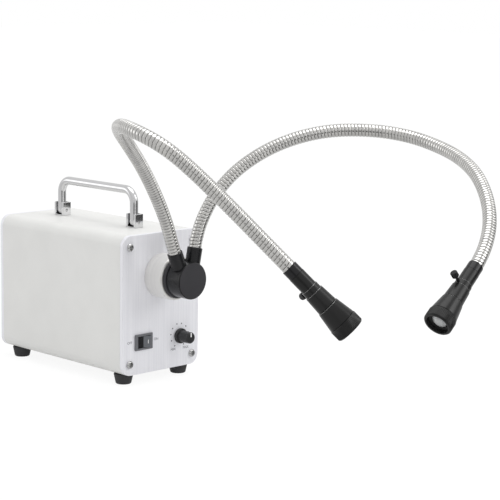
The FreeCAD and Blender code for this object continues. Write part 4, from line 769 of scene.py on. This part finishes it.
def make_arm(side):
    """The hose of one arm in its rigid and bending stretches. Gives where its head sits."""
    base, aim = collar_line(side)
    top = base + aim * COLLAR_REACH
    head_aim = Vector(HEAD_AIM[side]).normalized()
    corners = [top - aim * HOSE_GRIP, top, top + aim * 8.0]
    corners += [top + Vector(offset) for offset in ARM_CORNERS[side]]
    end = corners.pop()
    line = ArmLine(corners + [end - head_aim * 5.1, end, end + head_aim * TIP_GRIP])
    middle = CROWN_PLACE[side] * line.length
    base_end = HOSE_GRIP + BASE_FLEX
    crown_start, crown_end = middle - CROWN_FLEX / 2, middle + CROWN_FLEX / 2
    tip_start = line.length - TIP_GRIP - TIP_FLEX
    lower, upper = side + "_lower_arm", side + "_upper_arm"
    stretches = [
        ("base", 0.02, base_end, "guide_manifold", lower),
        ("lower", base_end, crown_start, lower, lower),
        ("crown", crown_start, crown_end, lower, upper),
        ("upper", crown_end, tip_start, upper, upper),
        ("tip", tip_start, line.length - 0.02, upper, side + "_arm_end"),
    ]
    for part, start, stop, body, other in stretches:
        node = "%s_hose_%s" % (side, part)
        shape = wound_hose(line, start, stop)
        item = piece(node + "_strip", [(shape, STRIP)], crease=60, even=False)
        if body == other:
            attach(item, body)
        else:
            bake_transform(item)
        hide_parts(node)
    return end, head_aim


THUMB_RISE, LENS_SEAT = 24.7, 55.42
# Edges of the barrel that get a painted highlight line: a height, and the radii on either side.
HIGHLIGHT_EDGES = ((22.0, 7.0, 7.35), (27.2, 7.7, 8.1), (42.4, 9.2, 9.5))
HIGHLIGHT_REACH = 0.14
# The glass: radius of its dome, of its flange and of its neck, and two heights.
BALL, LENS_RIM, LENS_NECK, LENS_STEP, LENS_LIFT = 9.0, 8.0, 6.4, 4.4, 2.4


def ridges(count, depth, low, high, least):
    """Straight knurling round a turned piece, between two heights."""

    def wave(share, radius, height):
        if radius < least or not low < height < high:
            return radius
        return radius - depth * (0.5 - 0.5 * math.cos(FULL_TURN * share * count)) ** 0.6

    return wave


def make_head(side, origin, aim):
    """Socket and ferrule, the focusing barrel with its ring and lens, and the thumbscrew."""
    end, head = side + "_arm_end", side + "_lens_head"
    socket = [(6.05, 0), (6.6, 0), (6.6, 8.0), (4.0, 8.0), (4.0, 36.0), (3.2, 36.0), (3.2, 6.1)]
    socket.append((6.05, 6.1))
    shape = turned(socket, origin, aim, 80, 0.25)
    piece(side + "_socket", [(shape, BLACK)], end, side + "_end_socket")
    bundle = turned([(0, 6.1), (3.2, 6.1), (3.2, 36.0), (0, 36.0)], origin, aim, 48, 0.1)
    piece(side + "_fibres", [(bundle, FIBRES)], end, side + "_fibre_end")
    barrel = [(4.05, 8.1), (6.75, 8.1), (6.75, 22.0), (7.3, 22.0), (7.3, 27.2), (8.0, 27.2)]
    barrel += [(8.8, 41.7), (8.4, 42.0), (8.4, 42.3), (9.35, 42.4), (11.75, 58.0), (11.3, 58.4)]
    barrel += [(8.05, 58.4), (8.05, 55.4), (6.0, 55.4), (6.0, 28.7), (4.05, 28.7)]
    shape = turned(barrel, origin, aim, 112, 0.18)
    shapes = [(shape, BLACK_BARREL)]
    item = piece(side + "_barrel", shapes, head, side + "_lens_barrel")
    # A painted highlight: faces along the step edges take the bright metal.
    item.data.materials.append(EDGE_HIGHLIGHT)
    for face in item.data.polygons:
        offset = face.center / MM - origin
        height = offset.dot(aim)
        radius = (offset - aim * height).length
        for edge, low, high in HIGHLIGHT_EDGES:
            if abs(height - edge) < HIGHLIGHT_REACH and low < radius < high:
                face.material_index = 1
    ring = [(8.05, 58.4), (11.6, 58.4), (12.2, 58.9), (12.2, 67.3), (11.3, 68.3), (9.6, 68.3)]
    ring += [(9.3, 64.4), (7.2, 64.0), (6.5, 61.6), (6.5, 60.0), (8.05, 60.0)]
    shape = turned(ring, origin, aim, 256, 0.15, ridges(64, 0.45, 59.2, 67.2, 12.0))
    piece(side + "_ring", [(shape, BLACK_BARREL)], head, side + "_lens_ring")
    dome = [(0, 0), (LENS_RIM, 0), (LENS_RIM, LENS_STEP), (LENS_NECK, LENS_STEP)]
    for i in range(17):
        radius = LENS_NECK * (1 - i / 16)
        dome.append((radius, LENS_LIFT + math.sqrt(BALL * BALL - radius * radius)))
    shape = turned(dome, origin + aim * LENS_SEAT, aim, 96, 0)
    # The lens's milky grey is painted light.
    piece(side + "_glass", [(shape, PRESSED)], head, side + "_lens")
    out = Vector(THUMB_SIDE[side])
    out = (out - aim * out.dot(aim)).normalized()
    screw = [(0, 4.3), (1.25, 4.3), (1.25, 11.5), (2.6, 11.5), (3.0, 11.9), (3.0, 16.1)]
    screw += [(2.6, 16.5), (0, 16.5)]
    spot = origin + aim * THUMB_RISE
    shape = turned(screw, spot, out, 144, 0.12, ridges(24, 0.25, 11.9, 16.1, 2.9))
    shapes, node = [(shape, BLACK)], side + "_thumbscrew"
    piece(side + "_thumb_knob", shapes, side + "_thumb", node)


# Handle

BAR_X, BAR_RADIUS, BEND = -0.7, 4.0, 12.0
BAR_STEPS, BEND_STEPS, LEG_STEPS, END_STEPS = 8, 12, 4, 9
PIVOT_Z, BAR_Z, HALF_SPAN = CASE_TOP + 5.2, CASE_TOP + 34.7, 53.5


def peg(radius, low, high, at, axis, steps=32, ease=0.2):
    """A round peg between two heights."""
    outline = [(0, low), (radius, low), (radius, high), (0, high)]
    return turned(outline, at, axis, steps, ease)


def make_handle():
    """A bright bar bent down at both ends, its legs rounded off round the pins."""
    shape = bmesh.new()
    bmesh.ops.create_circle(shape, cap_ends=False, segments=56, radius=BAR_RADIUS)
    placed(shape, Matrix.Rotation(math.pi / 2, 4, "X"))
    placed(shape, Matrix.Translation((BAR_X, 0, BAR_Z)))

    def carry_on(edges, move, grow=1.0, middle=None):
        """Draws the open end of the bar further."""
        result = bmesh.ops.extrude_edge_only(shape, edges=edges)["geom"]
        points = [g for g in result if isinstance(g, bmesh.types.BMVert)]
        if middle is not None:
            bmesh.ops.scale(
                shape, vec=(grow, grow, 1.0), space=Matrix.Translation(-middle), verts=points
            )
        bmesh.ops.translate(shape, vec=move, verts=points)
        return [g for g in result if isinstance(g, bmesh.types.BMEdge)]

    edges = shape.edges[:]
    straight = HALF_SPAN - BEND
    for i in range(BAR_STEPS):
        edges = carry_on(edges, (0, -straight / BAR_STEPS, 0))
    rim = list({point for edge in edges for point in edge.verts})
    result = bmesh.ops.spin(
        shape,
        geom=rim + edges,
        cent=(BAR_X, -straight, BAR_Z - BEND),
        axis=(1, 0, 0),
        dvec=(0, 0, 0),
        angle=math.pi / 2,
        steps=BEND_STEPS,
        use_merge=False,
    )
    edges = [g for g in result["geom_last"] if isinstance(g, bmesh.types.BMEdge)]
    for i in range(LEG_STEPS):
        edges = carry_on(edges, (0, 0, -(BAR_Z - BEND - PIVOT_Z) / LEG_STEPS))
    bottom = Vector((BAR_X, -HALF_SPAN, PIVOT_Z))
    width = 1.0
    for i in range(1, END_STEPS):
        angle = math.pi / 2 * i / END_STEPS
        last = math.pi / 2 * (i - 1) / END_STEPS
        drop = BAR_RADIUS * (math.sin(angle) - math.sin(last))
        edges = carry_on(edges, (0, 0, -drop), math.cos(angle) / width, bottom)
        width = math.cos(angle)
    bmesh.ops.holes_fill(shape, edges=edges, sides=0)
    bmesh.ops.mirror(shape, geom=all_of(shape), axis="Y", merge_dist=0.01)
    bmesh.ops.remove_doubles(shape, verts=shape.verts, dist=0.01)
    bmesh.ops.recalc_face_normals(shape, faces=shape.faces)
    ends = (-HALF_SPAN, HALF_SPAN)
    drills = [peg(1.52, -8, 8, (BAR_X, y, PIVOT_Z), Y, ease=0) for y in ends]
    piece("handle_bar", [(cut(shape, drills), PLATED)], "handle", "carry_handle")


def make_brackets():
    """Two slotted blocks on studs, and the pins that the handle turns on."""
    blocks, pins = [], []
    for y in (-HALF_SPAN, HALF_SPAN):
        spot = (BAR_X, y, PIVOT_Z)
        block = brick((9.6, 13.6, 13.0), (0, y, CASE_TOP + 6.5), 0.45)
        slot = brick((9.6, 8.6, 13.0), (-1.2, y, CASE_TOP + 7.5), 0)
        drill = peg(1.54, -9, 9, spot, Y, ease=0)
        blocks.append((cut(block, [slot, drill]), PLATED))
        blocks.append((peg(2.0, 0, 9, (0, y, CASE_TOP), -Z), PLATED))
        pins.append((peg(1.5, -6.7, 6.7, spot, Y), STEEL))
    piece("bracket_pair", blocks, "case", "handle_brackets")
    piece("pin_pair", pins, "case", "handle_pins")


# Switch and dimmer

SWITCH = Vector((SWITCH_X, FRONT, FOOT_HEIGHT + SWITCH_RISE))
ROCKER_PIVOT = SWITCH + Vector((0, 1.0, 0))
ROCKER_TILT = math.radians(-11.8)
ROCKER_TALL, ROCKER_EASE = 10.6, 0.35
SHARP = 0.5


def make_switch():
    """The snap-in housing and its rocker: pressed at the left, with painted light on the raised
    half.
    """
    well = [brick((15.2, 10.0, 11.2), SWITCH + Vector((0, 2.2, 0)), 0) for i in range(2)]
    bezel = cut(brick((21.0, 1.8, 15.0), SWITCH + Vector((0, -0.9, 0)), 0.5), well[:1])
    shell = cut(brick((18.9, 20.0, 12.6), SWITCH + Vector((0, 10.0, 0)), 0.2), well[1:])
    shapes = [(bezel, ABS_GREY), (shell, ABS_BLACK)]
    for x in (-5, 5):
        shapes.append((brick((0.8, 9.0, 6.0), SWITCH + Vector((x, 24.0, 0)), 0.1), BRASS))
    piece("switch_body", shapes, "case", "switch_housing")
    shape = bmesh.new()
    face_line = [(-6.7, -3.6), (-3.4, -2.55), (0, -2.2), (3.4, -2.55), (6.7, -3.6)]
    back_line = [(6.7, 1.5), (3.0, 4.0), (-3.0, 4.0), (-6.7, 1.5)]
    low = [shape.verts.new((x, y, -ROCKER_TALL / 2)) for x, y in face_line + back_line]
    flat = shape.faces.new(low)
    drawn = bmesh.ops.extrude_face_region(shape, geom=[flat], use_keep_orig=True)["geom"]
    tops = [g for g in drawn if isinstance(g, bmesh.types.BMVert)]
    bmesh.ops.translate(shape, vec=(0, 0, ROCKER_TALL), verts=tops)
    bmesh.ops.recalc_face_normals(shape, faces=shape.faces)
    sharp = [edge for edge in shape.edges if edge.calc_face_angle(0.0) > SHARP]
    ease_edges(shape, sharp, ROCKER_EASE)
    place = Matrix.Translation(ROCKER_PIVOT) @ Matrix.Rotation(ROCKER_TILT, 4, "Z")
    pin = peg(1, -5.9, 5.9, ROCKER_PIVOT, Z, 24, 0)
    raised = shape.copy()
    for half, way in ((shape, 1), (raised, -1)):
        bmesh.ops.bisect_plane(
            half,
            geom=all_of(half),
            plane_co=(0, 0, 0),
            plane_no=(way, 0, 0),
            clear_outer=True,
        )
    # The raised half takes the lighter grey: painted light, the same black ABS shown as lit.
    shapes = [(placed(shape, place), ABS_GLOSS), (placed(raised, place), ABS_PAINTED_LIT)]
    shapes.append((pin, ABS_BLACK))
    slope, mark = 0.29, (0.5, 0.1, 3.4)
    line = placed(brick(mark, (0, 0, 0), 0), Matrix.Rotation(-slope, 4, "Z"))
    placed(line, Matrix.Translation((4.6, -2.94, 0)))
    shapes.append((placed(line, place), INK_WHITE))
    piece("rocker", shapes, "rocker", "power_rocker")


# Flutes of the knob: how many and how deep, on its grip and round its skirt.
GRIP_FLUTES, SKIRT_FLUTES = (18, 0.26), (36, 0.16)


def make_knob():
    """The fluted pointer knob on its skirt."""
    at = Vector((DIAL_X, FRONT - 0.5, FOOT_HEIGHT + DIAL_RISE))
    outline = [(0, 12.6), (3.03, 12.6), (3.03, 2.4), (5.7, 2.4), (5.7, 0), (7.1, 0), (7.1, 2.6)]
    outline += [(6.7, 3.0), (5.6, 3.0), (5.3, 14.7), (4.6, 15.5), (0, 15.5)]

    def flutes(share, radius, height):
        if height > 3.2 and radius > 5.0:
            count, depth = GRIP_FLUTES
        elif height < 2.8 and radius > 6.5:
            count, depth = SKIRT_FLUTES
        else:
            return radius
        return radius - depth * max(0.0, math.cos(FULL_TURN * share * count)) ** 2

    shapes = [(turned(outline, at, -Y, 216, 0.15, flutes), ABS_BLACK)]
    shapes.append((brick((1.2, 0.06, 4.0), at + Vector((0, -15.5, 3.0)), 0), INK_WHITE))
    piece("knob", shapes, "dimmer", "dimmer_knob")


# Places of the print: across the plate, and up from the case's underside.
LEGENDS = (
    ("OFF", -38.3, 30.8, INK_PALE),
    ("ON", -6.1, 30.4, INK_PALE),
    ("MIN", 15.3, 17.2, INK_DARK),
    ("MAX", 31.3, 17.2, INK_DARK),
)
SCALE_DOTS = (
    (17.4, 20.4),
    (13.3, 25.8),
    (12.4, 31.8),
    (14.6, 37.3),
    (19.9, 41.0),
    (25.8, 40.7),
    (31.3, 37.5),
    (34.2, 31.5),
    (33.2, 25.5),
    (28.5, 20.7),
)
LETTER_SIZE, DOT_RADIUS = 3.4, 0.68


def make_print():
    """Plain legends for the switch and the dimmer, and the dots of its scale."""
    shapes = []
    for text, x, z, ink in LEGENDS:
        font = bpy.data.curves.new("legend", "FONT")
        font.body = text
        font.size = LETTER_SIZE
        font.align_x = "CENTER"
        font.align_y = "CENTER"
        font.extrude = 0.01
        place = Matrix.Translation((x, FRONT - 0.02, FOOT_HEIGHT + z))
        shapes.append((placed(from_maker(font), place @ Matrix.Rotation(math.pi / 2, 4, "X")), ink))
    for x, z in SCALE_DOTS:
        dot = peg(DOT_RADIUS, -0.2, 0.03, (x, FRONT, FOOT_HEIGHT + z), -Y, 20, 0)
        shapes.append((dot, INK_DARK))
    piece("front_legends", shapes, "case")


make_sleeve()
make_plates()
make_screws()
make_feet()
make_port_and_manifold()
for side in ARM_SIGN:
    make_collar(side)
    make_head(side, *make_arm(side))
make_handle()
make_brackets()
make_switch()
make_knob()
make_print()

# Solids whose form is right as it is, with their finishes.
KEPT = {
    "port_lock_nut": STEEL,
    "led_heatsink": TURNED,
    "led_module": CERAMIC,
    "lens_tube": BLACK,
    "condenser_lens": OPTICAL,
    "standoffs": BRASS,
    "fan_frame": ABS_BLACK,
    "fan_rotor": ABS_BLACK,
    "driver_board": CIRCUIT,
    "board_parts": ABS_BLACK,
    "dimmer_pot": STEEL,
    "dimmer_shaft": BRASS,
    "mains_inlet": ABS_BLACK,
    "inlet_pins": BRASS,
    "handle_nuts": STEEL,
    "guide_ferrule": STEEL,
    "guide_fibre_core": FIBRES,
    "guide_clip": STEEL,
    "guide_fibres": FIBRES,
}
for name, material in KEPT.items():
    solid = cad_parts[name]
    solid.data.materials.clear()
    solid.data.materials.append(material)

# Studio

# What stands round the object: a direction, how close to it (as cosines) the change
# starts and is complete, and the light left there. Matt faces see only the first list.
DIM_SIDE = [((-1, 0.2, -0.2), 0.2, 0.9, 0.87)]
REFLECTED = DIM_SIDE + [
    ((0.69, -0.71, -0.14), 0.88, 0.965, 0.1),
    ((0, 0, -1), 0.6, 0.95, 0.75),
    ((-0.69, 0.71, 0.22), 0.94, 0.985, 2.2),
    ((-0.67, -0.71, -0.22), 0.955, 0.985, 0.12),
]
STUDIO = 0.85
FLOOR_GLOW, FLOOR_SEEN, FLOOR_DROP = 1.05, 0.86, 0.0003


def studio_light(tree, towards, parts):
    """The light that comes from a direction."""
    light = None
    for direction, near, far, level in parts:
        dot = add(tree, "ShaderNodeVectorMath", [(0, towards)], operation="DOT_PRODUCT")
        dot.inputs[1].default_value = Vector(direction).normalized()
        fade = add(
            tree,
            "ShaderNodeMapRange",
            [("Value", dot.outputs["Value"])],
            interpolation_type="SMOOTHSTEP",
            From_Min=near,
            From_Max=far,
            To_Min=1.0 if light else STUDIO,
            To_Max=level if light else STUDIO * level,
        )
        if light:
            both = [(0, light), (1, fade.outputs["Result"])]
            light = add(tree, "ShaderNodeMath", both, operation="MULTIPLY").outputs[0]
        else:
            light = fade.outputs["Result"]
    return light


def make_world():
    """A white studio. Shiny faces see darker directions in it; the camera sees white."""
    world = bpy.data.worlds.new("studio")
    bpy.context.scene.world = world
    world.use_nodes = True
    world.cycles.sampling_method = "NONE"
    tree = world.node_tree
    tree.nodes.clear()
    towards = add(tree, "ShaderNodeTexCoord").outputs["Generated"]
    path = add(tree, "ShaderNodeLightPath")
    matt = studio_light(tree, towards, DIM_SIDE)
    shiny = studio_light(tree, towards, REFLECTED)
    light = add(tree, "ShaderNodeMix", [(0, path.outputs["Is Glossy Ray"]), (2, matt), (3, shiny)])
    studio = add(tree, "ShaderNodeBackground", [("Strength", light.outputs[0])], Color=(1, 1, 1, 1))
    backdrop = add(tree, "ShaderNodeBackground", Color=(1, 1, 1, 1), Strength=1.0)
    seen = add(
        tree,
        "ShaderNodeMath",
        [(0, path.outputs["Is Camera Ray"]), (1, path.outputs["Is Transmission Ray"])],
        operation="MAXIMUM",
    )
    mix = add(
        tree,
        "ShaderNodeMixShader",
        [(0, seen.outputs[0]), (1, studio.outputs[0]), (2, backdrop.outputs[0])],
    )
    add(tree, "ShaderNodeOutputWorld", [("Surface", mix.outputs[0])])


def make_floor():
    """A white floor that keeps a faint shadow, and mirrors as the studio does."""
    shape = bmesh.new()
    bmesh.ops.create_grid(shape, x_segments=1, y_segments=1, size=8.0)
    placed(shape, Matrix.Translation((0, 0, -FLOOR_DROP)))
    floor = piece_of(shape, "floor")
    material = bpy.data.materials.new("white_sweep")
    material.use_nodes = True
    material.cycles.emission_sampling = "NONE"
    tree = material.node_tree
    tree.nodes.clear()
    matt = add(tree, "ShaderNodeBsdfDiffuse", Color=linear("#f2f2f2"))
    glow = add(tree, "ShaderNodeEmission", Strength=FLOOR_GLOW)
    path = add(tree, "ShaderNodeLightPath")
    back = add(tree, "ShaderNodeNewGeometry").outputs["Incoming"]
    towards = add(tree, "ShaderNodeVectorMath", [(0, back)], operation="SCALE", Scale=-1.0)
    light = studio_light(tree, towards.outputs[0], REFLECTED)
    mirrored = add(tree, "ShaderNodeEmission", [("Strength", light)])
    base = add(
        tree,
        "ShaderNodeMixShader",
        [(0, path.outputs["Is Glossy Ray"]), (1, matt.outputs[0]), (2, mirrored.outputs[0])],
    )
    share = add(tree, "ShaderNodeMath", [(0, path.outputs["Is Camera Ray"])], operation="MULTIPLY")
    share.inputs[1].default_value = FLOOR_SEEN
    mix = add(
        tree,
        "ShaderNodeMixShader",
        [(0, share.outputs[0]), (1, base.outputs[0]), (2, glow.outputs[0])],
    )
    add(tree, "ShaderNodeOutputMaterial", [("Surface", mix.outputs[0])])
    floor.data.materials.append(material)


def soft_box(name, place, aim_at, size, power):
    data = bpy.data.lights.new(name, "AREA")
    data.shape = "RECTANGLE"
    data.size, data.size_y = size
    data.energy = power
    lamp = bpy.data.objects.new(name, data)
    bpy.context.scene.collection.objects.link(lamp)
    lamp.location = place
    lamp.rotation_euler = (Vector(aim_at) - Vector(place)).to_track_quat("-Z", "Y").to_euler()


# Where the photograph was taken from, and its width and focal length in pixels.
EYE = Vector((-1038.1, -1247.5, 376.1))
YAW, DOWN, ROLL = 44.93, 9.23, 0.88
PHOTO_WIDTH, PHOTO_FOCAL = 500.0, 1706.1
SENSOR = 36.0


def make_camera():
    """The photograph's view of the case, found from its edges."""
    yaw, down, roll = math.radians(YAW), math.radians(DOWN), math.radians(ROLL)
    data = bpy.data.cameras.new("camera")
    data.sensor_width = SENSOR
    data.lens = SENSOR * PHOTO_FOCAL / PHOTO_WIDTH
    data.clip_start, data.clip_end = 0.05, 30.0
    camera = bpy.data.objects.new("camera", data)
    bpy.context.scene.collection.objects.link(camera)
    look = Vector((math.sin(yaw) * math.cos(down), math.cos(yaw) * math.cos(down), -math.sin(down)))
    level = Vector((math.cos(yaw), -math.sin(yaw), 0))
    above = level.cross(look)
    right = level * math.cos(roll) + above * math.sin(roll)
    up = above * math.cos(roll) - level * math.sin(roll)
    turn = Matrix((right, up, -look)).transposed().to_4x4()
    camera.matrix_world = Matrix.Translation(EYE * MM) @ turn
    bpy.context.scene.camera = camera


make_world()
make_floor()
soft_box("overhead", (0.1, -0.2, 1.6), (0, -0.1, 0.1), (1.2, 1.2), 9.0)
soft_box("front_key", (0.9, -1.5, 1.0), (0, -0.1, 0.1), (0.6, 1.0), 7.0)
make_camera()
bpy.context.scene.view_settings.view_transform = "Standard"
